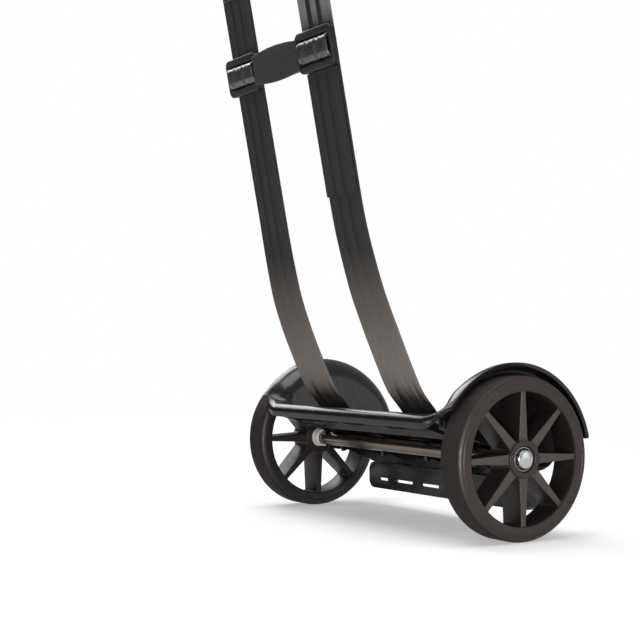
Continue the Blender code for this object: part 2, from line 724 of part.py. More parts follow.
def strap_path():
    """The strap's middle surface: from its hem under the deck, up the slot, to its top end."""
    lift = STRAP_THICKNESS / 2 + GAP - LANE_DEPTH
    drop = WALL + STRAP_THICKNESS / 2 + 3 * GAP
    along = Vector((math.cos(DECK_ANGLE), -math.sin(DECK_ANGLE)))
    mouth = Vector((SLOT_PLACE, deck_top(SLOT_PLACE)))
    bend = STRAP_BEND
    top_centre = mouth + DECK_NORMAL * (lift - bend) - along * bend
    low_centre = mouth - DECK_NORMAL * (drop - bend) - along * bend
    turn = math.atan2(along.y, along.x)
    half = math.pi / 2
    path = [low_centre - DECK_NORMAL * bend - along * STRAP_STOP]
    path += [Vector(p) for p in arc(low_centre, bend, turn - half, turn, 4)]
    path += [Vector(p) for p in arc(top_centre, bend, turn, turn + half, 4)]
    on_deck = []
    for x, clear in ((0.018, 0), (0.007, 0), (-0.001, 0.0003), (-0.010, 0.0015)):
        on_deck.append(Vector((x, deck_top(x))) + DECK_NORMAL * (lift + clear))
    rising = [Vector(point) for point in (
        (-0.0225, 0.0255), (-0.0330, 0.0370), (-0.0446, 0.0512), (-0.0571, 0.0762), (-0.0684, 0.1016),
        (-0.0781, 0.1270), (-0.0852, 0.1524), (-0.0912, 0.1778))]
    start = strap_line(STRAP_STRAIGHT_FROM)
    following = strap_line(STRAP_STRAIGHT_FROM + 0.012)
    lead = path[-1]
    curved = through([lead] + on_deck + rising + [start, following], 0.006)
    path += curved[1:]
    path.append(strap_line(STRAP_TOP))
    return path


def ribbon_outline(path, thickness_at):
    """The closed outline of a strip along the path; thickness_at gives (left, right) there."""
    left = []
    right = []
    for index, point in enumerate(path):
        before = path[max(index - 1, 0)]
        after = path[min(index + 1, len(path) - 1)]
        direction = (after - before).normalized()
        normal = Vector((-direction.y, direction.x))
        a, b = thickness_at(index)
        left.append(tuple(point + normal * a))
        right.append(tuple(point - normal * b))
    return left + right[::-1]


def build_strap(side, name, root):
    """One strap; its top end has a folded hem, and a second hem holds it under the deck."""
    path = strap_path()
    top = path[-1]
    hem_from = top + (path[-2] - top).normalized() * HEM_LENGTH
    path[-1:] = [hem_from, hem_from + (top - hem_from).normalized() * 0.0015, top]
    path[1:1] = [path[0].lerp(path[1], 0.75), path[0].lerp(path[1], 0.85)]
    half = STRAP_THICKNESS / 2
    folded = (0, 1, len(path) - 2, len(path) - 1)
    outline = ribbon_outline(
        path, lambda index: (half, half + STRAP_THICKNESS) if index in folded else (half, half))
    mesh = plate_mesh(f"{name}_strap", [outline], STRAP_WIDTH, IN_XZ)
    mesh.transform(Matrix.Translation((0, side * STRAP_SPACING / 2, 0)))
    for vert in mesh.vertices:
        share = eased((vert.co.z - STRAP_TURN_FROM) / (STRAP_STRAIGHT_FROM - STRAP_TURN_FROM))
        vert.co = strap_turn(share) @ vert.co
    add_object(f"{name}_strap", mesh, WEBBING, root)


# Sliders. In their own frame Z runs up the strap, Y across it, and -X points away from it.


def build_slider(side, name, parent):
    """A three-bar slider: an outer frame with a round bar across its window."""
    width = STRAP_WIDTH + 2 * SLIDER_SIDE
    outer = rounded_rectangle(width, SLIDER_LENGTH, SLIDER_CORNER)
    window = rounded_rectangle(STRAP_WIDTH + 4 * GAP, SLIDER_WINDOW, 0.0015, 3)
    mesh = plate_mesh(f"{name}_slider", [outer, window], SLIDER_THICKNESS, IN_YZ)
    back = -(STRAP_THICKNESS / 2 + GAP)
    place = (back - SLIDER_THICKNESS / 2, side * STRAP_SPACING / 2, 0)
    slider = add_object(f"{name}_slider", mesh, SLIDER_PLASTIC, parent, place)
    bevel(slider, SLIDER_BEVEL, 2, 60)
    bar_bm = bmesh.new()
    bmesh.ops.create_cone(
        bar_bm, cap_ends=True, segments=16, radius1=BAR_RADIUS, radius2=BAR_RADIUS,
        depth=STRAP_WIDTH + SLIDER_SIDE)
    bmesh.ops.rotate(bar_bm, cent=(0, 0, 0), matrix=Matrix.Rotation(math.pi / 2, 3, "X"), verts=bar_bm.verts)
    bar_place = (place[0] + 0.0006, place[1], 0)
    bar = add_object(f"{name}_bar", mesh_from(bar_bm, "bar"), None, parent, bar_place)
    boolean(slider, bar, "UNION")
    tuck = bmesh.new()
    bmesh.ops.create_cube(tuck, size=1.0)
    size = (2 * (BAND_END_THICKNESS + 2 * GAP), SLIDER_SIDE + 2 * GAP, BAND_END_WIDTH + 2 * GAP)
    bmesh.ops.scale(tuck, vec=size, verts=tuck.verts)
    edge = side * (STRAP_SPACING / 2 - STRAP_WIDTH / 2 - SLIDER_SIDE / 2)
    recess = add_object(f"{name}_band_recess", mesh_from(tuck, "recess"), None, parent, (back, edge, 0))
    boolean(slider, recess, "DIFFERENCE")
    build_loop(side, name, parent, place[0] + 0.0006)


def build_loop(side, name, parent, bar_x):
    """The webbing that comes up through the slider's window and over its bar."""
    inner = BAR_RADIUS + GAP
    reach = SLIDER_WINDOW / 2 - LOOP_THICKNESS - 2 * GAP
    back = -(STRAP_THICKNESS / 2 + 2 * GAP)
    front = bar_x - inner
    path = [Vector((back, -reach))]
    middle = []
    for step in range(13):
        share = step / 12
        height = -reach + 2 * reach * share
        rise = 1 - abs(2 * share - 1) ** 3.2
        middle.append(Vector((back + (front - back) * (0.42 + 0.58 * rise), height)))
    path += middle + [Vector((back, reach))]
    path = path[1:-1]
    path[0] = Vector((back, -reach))
    path[-1] = Vector((back, reach))
    outline = ribbon_outline(path, lambda index: (LOOP_THICKNESS, 0.0))
    low = [(max(min(x, back), -1.0), z) for x, z in outline]
    mesh = plate_mesh(f"{name}_webbing_loop", [low], STRAP_WIDTH - 2 * GAP, IN_XZ)
    add_object(f"{name}_webbing_loop", mesh, WEBBING, parent, (0, side * STRAP_SPACING / 2, 0))


def build_band(parent):
    """The moulded band between the sliders: barrel shaped, thinned where it tucks behind them."""
    inner_edge = STRAP_SPACING / 2 - STRAP_WIDTH / 2
    post = inner_edge - SLIDER_SIDE - 2 * GAP
    end = inner_edge - GAP
    stations = []
    steps = 14
    for step in range(steps + 1):
        y = -post + 2 * post * step / steps
        swell = math.cos(math.pi / 2 * y / post)
        half = (BAND_END_WIDTH + (BAND_MIDDLE_WIDTH - BAND_END_WIDTH) * swell) / 2
        stations.append((y, half, BAND_THICKNESS))
    tuck = post + GAP
    half = BAND_END_WIDTH / 2
    tucked = [(tuck, half, BAND_END_THICKNESS), (end, half, BAND_END_THICKNESS)]
    stations = [(-y, h, t) for y, h, t in reversed(tucked)] + stations + tucked
    bm = bmesh.new()
    rings = []
    for y, half, thickness in stations:
        edge = min(0.0008, thickness / 3)
        section = [
            (0.0, -half + edge), (0.0, half - edge), (-edge, half), (edge - thickness, half),
            (-thickness, half - edge), (-thickness, edge - half), (edge - thickness, -half), (-edge, -half)]
        rings.append([bm.verts.new((x, y, z)) for x, z in section])
    for ring, following in zip(rings, rings[1:]):
        for index in range(len(ring)):
            after = (index + 1) % len(ring)
            bm.faces.new((ring[index], ring[after], following[after], following[index]))
    bm.faces.new(rings[0][::-1])
    bm.faces.new(rings[-1])
    back = -(STRAP_THICKNESS / 2 + GAP) - GAP
    add_object("link_band", mesh_from(bm, "link_band"), BAND_RUBBER, parent, (back, 0, 0))


def build_tail(parent):
    """The near strap's free end, lying on the strap below its slider."""
    back = -(STRAP_THICKNESS / 2 + GAP)
    start = -SLIDER_LENGTH / 2 - GAP
    path = [Vector((back, start)), Vector((back, start - TAIL_LENGTH + 0.010)), Vector((back, start - TAIL_LENGTH))]
    outline = ribbon_outline(path, lambda index: (0.0, TAIL_THICKNESS))
    mesh = plate_mesh("near_strap_tail", [outline], STRAP_WIDTH - 4 * GAP, IN_XZ)
    add_object("near_strap_tail", mesh, WEBBING, parent, (0, -STRAP_SPACING / 2, 0))


def centre_on_floor(root):
    """Move the assembly so that the middle of its base is the origin."""
    bpy.context.view_layer.update()
    graph = bpy.context.evaluated_depsgraph_get()
    low = Vector((1e9, 1e9, 1e9))
    high = -low
    for thing in PARTS.objects:
        if thing.type != "MESH":
            continue
        shape = thing.evaluated_get(graph)
        mesh = shape.to_mesh()
        for vert in mesh.vertices:
            point = thing.matrix_world @ vert.co
            low = Vector(map(min, low, point))
            high = Vector(map(max, high, point))
        shape.to_mesh_clear()
    root.location += Vector((-(low.x + high.x) / 2, -(low.y + high.y) / 2, -low.z))


def main():
    root = add_empty("axle_centre", (0, 0, WHEEL_RADIUS))
    build_cradle(root)
    build_axle(root)
    for side, name in ((-1, "near"), (1, "far")):
        build_wheel(side, name, root)
        build_axle_end(side, name, root)
        build_strap(side, name, root)
    place = strap_line(SLIDER_HEIGHT_ON_STRAP)
    upright = Matrix.Translation((place.x, 0, place.y)) @ Matrix.Rotation(-STRAP_LEAN, 4, "Y")
    turned_guide = strap_turn(1.0) @ upright
    guide = add_empty("slider_guide", turned_guide.to_translation(), root, turned_guide.to_euler())
    for side, name in ((-1, "near"), (1, "far")):
        build_slider(side, name, guide)
    build_band(guide)
    build_tail(guide)
    centre_on_floor(root)


main()
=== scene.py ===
"""The looks of a double bass transport wheel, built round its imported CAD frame.

The cradle, wheels, sliders and band are built again here with finer curves than the solids have, from
the same sizes. The straps and the webbing on the sliders get their ribs, folded hems and stitches.
Each length is in metres, and a section point is an (x, z) pair measured from the axle's centre.
"""
import math

import bmesh
import bpy
from mathutils import Matrix, Vector


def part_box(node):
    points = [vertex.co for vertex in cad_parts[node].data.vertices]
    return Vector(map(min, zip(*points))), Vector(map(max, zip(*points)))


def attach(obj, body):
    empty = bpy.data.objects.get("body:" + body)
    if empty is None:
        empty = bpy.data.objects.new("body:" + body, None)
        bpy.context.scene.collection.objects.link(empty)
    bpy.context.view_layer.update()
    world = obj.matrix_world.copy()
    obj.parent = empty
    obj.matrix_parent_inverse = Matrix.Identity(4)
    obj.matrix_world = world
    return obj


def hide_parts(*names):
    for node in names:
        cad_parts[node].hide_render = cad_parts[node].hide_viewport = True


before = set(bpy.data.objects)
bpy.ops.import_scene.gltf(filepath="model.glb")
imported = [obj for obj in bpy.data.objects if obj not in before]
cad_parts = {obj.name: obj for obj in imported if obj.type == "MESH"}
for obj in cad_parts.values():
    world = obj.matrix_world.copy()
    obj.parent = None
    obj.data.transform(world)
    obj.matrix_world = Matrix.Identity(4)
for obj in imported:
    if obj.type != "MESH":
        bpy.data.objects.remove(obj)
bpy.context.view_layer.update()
AXLE_LOW, AXLE_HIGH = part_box("axle")
AXLE = (AXLE_LOW + AXLE_HIGH) / 2

# Clearance between pieces
GAP = 0.0003

# How far a cutter stands out of what it cuts
CUT_OVER = 0.004

# How near two points have to be to be joined: in an outline, and where the shell's halves meet
SAME_POINT = 0.000001
MIDDLE_SEAM = 0.00001

# Wheels
WHEEL_RADIUS = 0.0635
WHEEL_WIDTH = 0.0254
TREAD_SHOULDER = 0.0045
FACE_LINE_RADIUS = 0.0592
FACE_LINE_RISE = 0.00025
FACE_PIP_RADIUS = 0.0585
FACE_PIP_ANGLES = (2.5, 122.5, 242.5)
RING_OPENING = 0.0516
HUB_RADIUS = 0.0145
SPOKE_COUNT = 8
SPOKE_WIDTH_HUB = 0.0078
SPOKE_WIDTH_RIM = 0.0044
SPOKE_INSET = 0.0016
SPOKE_FLARE = 0.0007
SPOKE_FLARE_LENGTH = 0.0018
SPOKE_ROOT = 0.0030
SPOKE_EDGE = 0.0005
HUB_EDGE = 0.0007
CAP_RECESS_RADIUS = 0.0101
CAP_RECESS_DEPTH = 0.0030

# Axle and what is on it
AXLE_RADIUS = 0.00635
AXLE_EDGE = 0.0008
AXLE_BORE = AXLE_RADIUS + GAP
BUSH_RADIUS = AXLE_BORE + 0.0016
BUSH_EDGE = 0.0004
HUB_BORE = BUSH_RADIUS + GAP
SPACER_RADIUS = AXLE_BORE + 0.0012
SPACER_LENGTH = 0.0080
SPACER_EDGE = 0.0005
WASHER_RADIUS = 0.0092
WASHER_THICKNESS = 0.0012
WASHER_EDGE = 0.0002
WASHER_RIM_EDGE = 0.00015
CAP_RADIUS = AXLE_BORE + 0.0008
CAP_HEIGHT = 0.0032

# Cradle
WALL = 0.0036
SHELL_RIM = 0.0010
DECK_ANGLE = math.radians(21.8)
DECK_OVER_AXLE = 0.0115
DECK_FRONT = -0.0549
DECK_REAR = 0.0485
FRONT_ROLL = 0.0070
FRONT_LIP = 0.0036
LIP_ANGLE = math.radians(187)
LIP_AT_HOOD = 0.30
REAR_ROLL = 0.0080
SEAT_WIDTH = 0.236
SEAT_FILLET = 0.0080
WALL_DRAFT = 0.0060
HOOD_RADIUS = 0.0770
HOOD_SETBACK = 0.0065
HOOD_DROP = 0.0035
HOOD_FRONT_ANGLE = math.radians(145)
HOOD_REAR_ANGLE = math.radians(12)
HOOD_ROLL = 0.0200
HOOD_COVER = 0.0087
HOOD_EDGE = 0.0025
LOW_HOOD = 0.0100
HIGH_HOOD = 0.0320
RAIL_LENGTH = 0.228
RAIL_BOTTOM = -0.0470
RAIL_TOP = -0.0229
RAIL_DEPTH = 0.0112
RAIL_CORNER = 0.0080
RAIL_EDGE = 0.0030
WINDOW_COUNT = 6
WINDOW_BAR = 0.0112
WINDOW_END_WALL = 0.0030
WINDOW_HEIGHT = 0.0028
WINDOW_RISE = 0.0088
WINDOW_CORNER = 0.0008
SKIRT_THICKNESS = WALL - 0.0012
SKIRT_RIB_THICKNESS = 0.0016
SKIRT_RIB_DEPTH = 0.0050
SKIRT_RIB_PLACES = (-0.0115, -0.0160)
WEB_THICKNESS = 0.0032
WEB_SETBACK = 0.004
WEB_PLACES = (0.0320, 0.0965)
BRACKET_THICKNESS = 0.0072
BRACKET_EDGE = 0.0006
WEB_DEPTH_FRONT = 0.0060
WEB_UNDER_AXLE = 0.0040
LONG_RIB_THICKNESS = 0.0024
LONG_RIB_DEPTH = 0.0052
LONG_RIB_PLACES = (-0.0230, 0.0135)

# Straps
STRAP_WIDTH = 0.048
STRAP_THICKNESS = 0.0022
STRAP_SPACING = 0.1276
STRAP_LEAN = math.atan(0.195)
STRAP_TOP = 0.400
STRAP_STRAIGHT_FROM = 0.2032
STRAP_LINE_X = -0.0964
STRAP_TURN = math.radians(3.2)
STRAP_TURN_AT = 0.020
STRAP_TURN_FROM = 0.085
STRAP_GROOVES = (0.34, 0.66)
STRAP_GROOVE_DEPTH = 0.00035
HEM_LENGTH = 0.022
FOOT_HEM_LENGTH = 0.0095
STITCH_PITCH = 0.0030
STITCH_RADIUS = 0.00035
STITCH_INSET = 0.0040
STITCH_SIDE_INSET = 0.0045
SLOT_PLACE = 0.0350
SLOT_SIDE_ROOM = 0.0020
SLOT_WIDTH = 0.0060
LANE_DEPTH = 0.0006
LANE_SIDE_ROOM = 0.0010
STRAP_BEND = 0.0030
STRAP_STOP = 0.0110
PATH_STEP = 0.003

# Sliders, webbing loops, band and free end
SLIDER_HEIGHT_ON_STRAP = 0.3175
SLIDER_SIDE = 0.0042
SLIDER_LENGTH = 0.0322
SLIDER_THICKNESS = 0.0056
SLIDER_CORNER = 0.0062
SLIDER_EDGE = 0.0012
SLIDER_WINDOW = 0.0200
SLIDER_WINDOW_CORNER = 0.0012
BAR_RADIUS = 0.0018
BAR_BACK = 0.0006
BAR_ROOT = 0.0026
LOOP_THICKNESS = 0.0020
LOOP_BULGE = 0.0016
LOOP_BEND = 0.0048
LOOP_RISE = 0.60
PUCKER_PITCH = 0.0105
PUCKER_DEPTH = 0.00035
BAND_THICKNESS = 0.0032
BAND_END_THICKNESS = 0.0018
BAND_END_WIDTH = 0.0240
BAND_MIDDLE_WIDTH = 0.0285
BAND_FLAP = 0.0010
BAND_EDGE = 0.0010
BAND_END_ROUND = 0.0006
BAND_CUT_REACH = 0.0300
TAIL_LENGTH = 0.098
TAIL_THICKNESS = 0.0018
TAIL_SEAL = 0.003

# Floor, surroundings and camera
FLOOR_RADIUS = 14.0
FLOOR_FADE_FROM = 0.55
FLOOR_FADE_TO = 1.8
FLOOR_LIFT = 0.34
FLOOR_REFLECTED_NEAR = 0.9
FLOOR_REFLECTED_FAR = 0.2
WORLD_BRIGHT_SIDE = (0.45, -0.25, 0.60)
WORLD_RAMP = (-0.20, 0.60)
WORLD_DIM = 0.04
WORLD_BRIGHT = 0.40
CAMERA_LENS = 77.2
CAMERA_PITCH = 0.0168
CAMERA_HEADING = (0.53195, 0.84677)
CAMERA_PLACE = (AXLE.x - 0.68805, -0.96115, 0.15195)

# Places worked out from the sizes above
TRACK = SEAT_WIDTH + 2 * (BRACKET_THICKNESS + 2 * GAP + SPACER_LENGTH) + WHEEL_WIDTH
SLOPE = math.tan(DECK_ANGLE)
DECK_NORMAL = Vector((math.sin(DECK_ANGLE), math.cos(DECK_ANGLE)))
HOOD_LIP = TRACK / 2 - WHEEL_WIDTH / 2 + HOOD_COVER
BRACKET_OUTER = SEAT_WIDTH / 2 + BRACKET_THICKNESS
REAR_FACE = DECK_REAR - DECK_NORMAL.x * REAR_ROLL + REAR_ROLL
RAIL_MIDDLE = (RAIL_TOP + RAIL_BOTTOM) / 2
RAIL_HEIGHT = RAIL_TOP - RAIL_BOTTOM


# Materials


def from_hex(code):
    """A linear colour from an sRGB hex value."""
    parts = [int(code[start:start + 2], 16) / 255 for start in (1, 3, 5)]
    linear = [part / 12.92 if part <= 0.04045 else ((part + 0.055) / 1.055) ** 2.4 for part in parts]
    return (*linear, 1.0)


def set_inputs(node, inputs):
    """Fill a node's inputs, by name or in order: another node's output is linked, and a value is set."""
    for name, value in inputs.items() if isinstance(inputs, dict) else enumerate(inputs):
        if isinstance(value, bpy.types.NodeSocket):
            node.id_data.links.new(value, node.inputs[name])
        else:
            node.inputs[name].default_value = value


def add_node(tree, kind, inputs=(), **settings):
    """Add a node with its settings and links, and give its outputs."""
    node = tree.nodes.new(f"ShaderNode{kind}")
    for name, value in settings.items():
        setattr(node, name, value)
    set_inputs(node, inputs)
    return node.outputs


def new_material(name, **values):
    """A Principled material with its fixed values set; gives the material, its tree and its shader."""
    made = bpy.data.materials.new(name)
    made.use_nodes = True
    shader = made.node_tree.nodes["Principled BSDF"]
    set_inputs(shader, {socket.replace("_", " "): value for socket, value in values.items()})
    return made, made.node_tree, shader


def radius_of(tree, where):
    """The distance from the axle's centre line."""
    from_axle = add_node(tree, "VectorMath", [where, AXLE], operation="SUBTRACT")[0]
    flat = add_node(tree, "VectorMath", [from_axle, (1.0, 0.0, 1.0)], operation="MULTIPLY")[0]
    return add_node(tree, "VectorMath", [flat], operation="LENGTH")["Value"]


def off_centre_of(tree, where):
    """The distance from the object's middle plane, along the axle."""
    along_axle = add_node(tree, "SeparateXYZ", [where])["Y"]
    return add_node(tree, "Math", [along_axle], operation="ABSOLUTE")[0]


def patchy_material(
        name, colours, size, detail, depth, strength, blend=0.5, satin=None, relief=None, **values):
    """A material whose colour, and its shine where satin is given, drifts in soft patches of a real size.

    Its relief is a texture node's kind, inputs, settings and output, or else the patches themselves.
    """
    made, tree, shader = new_material(name, **values)
    where = add_node(tree, "TexCoord")["Object"]
    dark, light = [from_hex(code) for code in colours]
    patches = add_node(
        tree, "TexNoise", {"Vector": where, "Scale": 1 / size, "Detail": detail, "Roughness": blend})["Fac"]
    height = patches
    if relief:
        kind, inputs, settings, output = relief
        height = add_node(tree, kind, {"Vector": where, **inputs}, **settings)[output]
    set_inputs(shader, {
        "Base Color": add_node(tree, "Mix", {0: patches, 6: dark, 7: light}, data_type="RGBA")[2],
        "Normal": add_node(tree, "Bump", {"Height": height, "Distance": depth, "Strength": strength})[0]})
    if satin:
        set_inputs(shader, {"Roughness": add_node(tree, "MapRange", [patches, 0.3, 0.7, *satin])[0]})
    return made


def gloss_abs():
    """Injection moulded ABS from a polished tool: near black, mirror-like, with a faint orange peel.

    The outboard faces behind the wheels come from an unpolished part of the tool and are dull, and their
    shine is also cut down there as painted shade, for the shadow that falls behind the wheels.
    """
    made, tree, shader = new_material("gloss_moulded_abs", IOR=1.54)
    places = add_node(tree, "TexCoord")
    where = places["Object"]
    sides = add_node(tree, "VectorMath", [where], operation="SIGN")[0]
    outward = add_node(tree, "VectorMath", [places["Normal"], sides], operation="MULTIPLY")[0]
    facing = add_node(tree, "SeparateXYZ", [outward])["Y"]
    inside = HOOD_RADIUS - WALL
    faces_out = add_node(tree, "MapRange", [facing, 0.6, 0.8, 0.0, 1.0])[0]
    radius = radius_of(tree, where)
    in_hood = add_node(tree, "MapRange", [radius, inside - 0.0012, inside - 0.0004, 1.0, 0.0])[0]
    outboard = add_node(
        tree, "Math", [off_centre_of(tree, where), SEAT_WIDTH / 2 - WALL], operation="GREATER_THAN")[0]
    behind = add_node(tree, "Math", [faces_out, in_hood], operation="MULTIPLY")[0]
    dull = add_node(tree, "Math", [behind, outboard], operation="MULTIPLY")[0]
    cloud = add_node(tree, "TexNoise", {"Vector": where, "Scale": 1 / 0.030, "Detail": 3.0})["Fac"]
    scuff = add_node(
        tree, "TexNoise", {"Vector": where, "Scale": 1 / 0.008, "Detail": 3.0, "Roughness": 0.6})["Fac"]
    gloss = add_node(tree, "MapRange", [scuff, 0.35, 0.75, 0.20, 0.30])[0]
    peel = add_node(tree, "TexNoise", {"Vector": where, "Scale": 1 / 0.004, "Detail": 0.0})["Fac"]
    # Painted shade: the outboard faces behind the wheels get much less shine, so that they read as dark as
    # the shadow behind the wheels
    set_inputs(shader, {
        "Base Color": add_node(
            tree, "Mix", {0: cloud, 6: from_hex("#0f0d0d"), 7: from_hex("#181514")}, data_type="RGBA")[2],
        "Roughness": add_node(tree, "Math", [dull, 0.3, gloss], operation="MULTIPLY_ADD")[0],
        "Specular IOR Level": add_node(tree, "MapRange", [dull, 0.0, 1.0, 0.5, 0.12])[0],
        "Normal": add_node(tree, "Bump", {"Height": peel, "Distance": 0.00001, "Strength": 0.3})[0]})
    return made


def satin_nylon():
    """Moulded nylon from a spark-eroded tool: warm near black and satin.

    The outer face, and its spokes most of all, is painted paler than the inboard side, as painted light: the
    face meets the light and the inboard side lies in shade. The tread is dull from rolling.
    """
    made, tree, shader = new_material("satin_moulded_nylon", IOR=1.53)
    where = add_node(tree, "TexCoord")["Object"]
    radius = radius_of(tree, where)
    face = TRACK / 2 + WHEEL_WIDTH / 2 - SPOKE_INSET
    past_hub = add_node(tree, "MapRange", [radius, HUB_RADIUS, HUB_RADIUS + 0.001, 0.0, 1.0])[0]
    before_ring = add_node(tree, "MapRange", [radius, RING_OPENING - 0.001, RING_OPENING, 1.0, 0.0])[0]
    off_centre = off_centre_of(tree, where)
    painted_light_face = add_node(tree, "MapRange", [off_centre, face - 0.0008, face - 0.0003, 0.0, 1.0])[0]
    between = add_node(tree, "Math", [past_hub, before_ring], operation="MULTIPLY")[0]
    painted_light_spoke = add_node(tree, "Math", [between, painted_light_face], operation="MULTIPLY")[0]
    cloud = add_node(tree, "TexNoise", {"Vector": where, "Scale": 1 / 0.018, "Detail": 4.0})["Fac"]
    # Painted light and shade: the inboard side takes the darkest shades, the outer face paler ones, and the
    # spokes' outer faces the palest
    inner, outer, spoke = [
        add_node(tree, "Mix", {0: cloud, 6: from_hex(dark), 7: from_hex(light)}, data_type="RGBA")[2]
        for dark, light in (("#161010", "#201715"), ("#251c1a", "#302523"), ("#3b3430", "#48403b"))]
    colour = add_node(tree, "Mix", {0: painted_light_face, 6: inner, 7: outer}, data_type="RGBA")[2]
    tread = add_node(tree, "MapRange", [radius, WHEEL_RADIUS - 0.0016, WHEEL_RADIUS - 0.0006, 0.0, 1.0])[0]
    scuff = add_node(
        tree, "TexNoise", {"Vector": where, "Scale": 1 / 0.006, "Detail": 5.0, "Roughness": 0.6})["Fac"]
    satin = add_node(tree, "MapRange", [scuff, 0.3, 0.7, 0.36, 0.52])[0]
    # The real grain is about 0.1 mm; it is drawn at 0.5 mm so that it shows in the render
    grain = add_node(tree, "TexNoise", {"Vector": where, "Scale": 1 / 0.0005, "Detail": 2.0})["Fac"]
    set_inputs(shader, {
        "Base Color": add_node(tree, "Mix", {0: painted_light_spoke, 6: colour, 7: spoke}, data_type="RGBA")[2],
        "Roughness": add_node(tree, "Math", [tread, 0.3, satin], operation="MULTIPLY_ADD")[0],
        "Specular IOR Level": add_node(tree, "MapRange", [tread, 0.0, 1.0, 0.5, 0.32])[0],
        "Normal": add_node(tree, "Bump", {"Height": grain, "Distance": 0.00004, "Strength": 0.5})[0]})
    return made


def natural_acetal():
    """Natural acetal, turned: milky white with a soft shine and faint tool rings."""
    rings = ("TexWave", {"Scale": 450.0, "Distortion": 0.4}, {"bands_direction": "Y"}, "Fac")
    return patchy_material(
        "natural_acetal", ("#e2dfd8", "#efece6"), 0.004, 3.0, 0.00002, 0.4, relief=rings,
        Roughness=0.38, IOR=1.48, Subsurface_Weight=0.15, Subsurface_Scale=0.001)


def ground_steel():
    """Centreless ground steel rod, with fine rings round it and a few dull patches."""
    rings = ("TexWave", {"Scale": 320.0, "Distortion": 0.4}, {"bands_direction": "Y"}, "Fac")
    # Painted shade: the rod is coloured darker than bare steel, for the shadowed floor that it reflects
    # under the deck
    return patchy_material(
        "ground_steel_rod", ("#7c746d", "#938a82"), 0.012, 4.0, 0.000004, 0.2, satin=(0.18, 0.26),
        relief=rings, Metallic=1.0)


def zinc_plate():
    """Bright zinc plate on pressed steel: pale, faintly blue, with small pits and handling marks."""
    return patchy_material(
        "bright_zinc_plate", ("#c9ccd0", "#eceeef"), 0.0022, 5.0, 0.00004, 0.5, blend=0.6,
        satin=(0.16, 0.34), Metallic=1.0)


def black_phosphate():
    """Phosphated spring steel: dull charcoal with a dry, crystalline surface."""
    return patchy_material(
        "black_phosphate_steel", ("#24211f", "#3a3532"), 0.0006, 3.0, 0.00003, 0.6, Metallic=0.6,
        Roughness=0.5)


def matte_acetal():
    """Moulded acetal from a textured tool: dense black, matte, with a fine leathery grain."""
    # The real texture is about 0.2 mm; it is drawn at 0.6 mm so that it shows in the render
    grain = ("TexVoronoi", {"Scale": 1 / 0.0006}, {}, "Distance")
    return patchy_material(
        "matte_moulded_acetal", ("#0e0b0a", "#151110"), 0.010, 4.0, 0.00005, 0.6, satin=(0.38, 0.52),
        relief=grain, IOR=1.48)


def grained_rubber():
    """Moulded rubber with a leather grain of about 1 mm: black, dry, with a slight bloom."""
    grain = ("TexVoronoi", {"Scale": 1 / 0.0011}, {"feature": "SMOOTH_F1"}, "Distance")
    return patchy_material(
        "grained_moulded_rubber", ("#0b0807", "#130f0d"), 0.008, 5.0, 0.00012, 0.7, blend=0.6,
        satin=(0.48, 0.70), relief=grain, IOR=1.52, Sheen_Weight=0.05, Sheen_Roughness=0.5)


def polyester_thread():
    """Twisted polyester sewing thread: black with a dull shine."""
    return patchy_material(
        "polyester_thread", ("#1c1a1a", "#3a3737"), 0.0003, 2.0, 0.00004, 0.8, Roughness=0.5,
        Sheen_Weight=0.3)


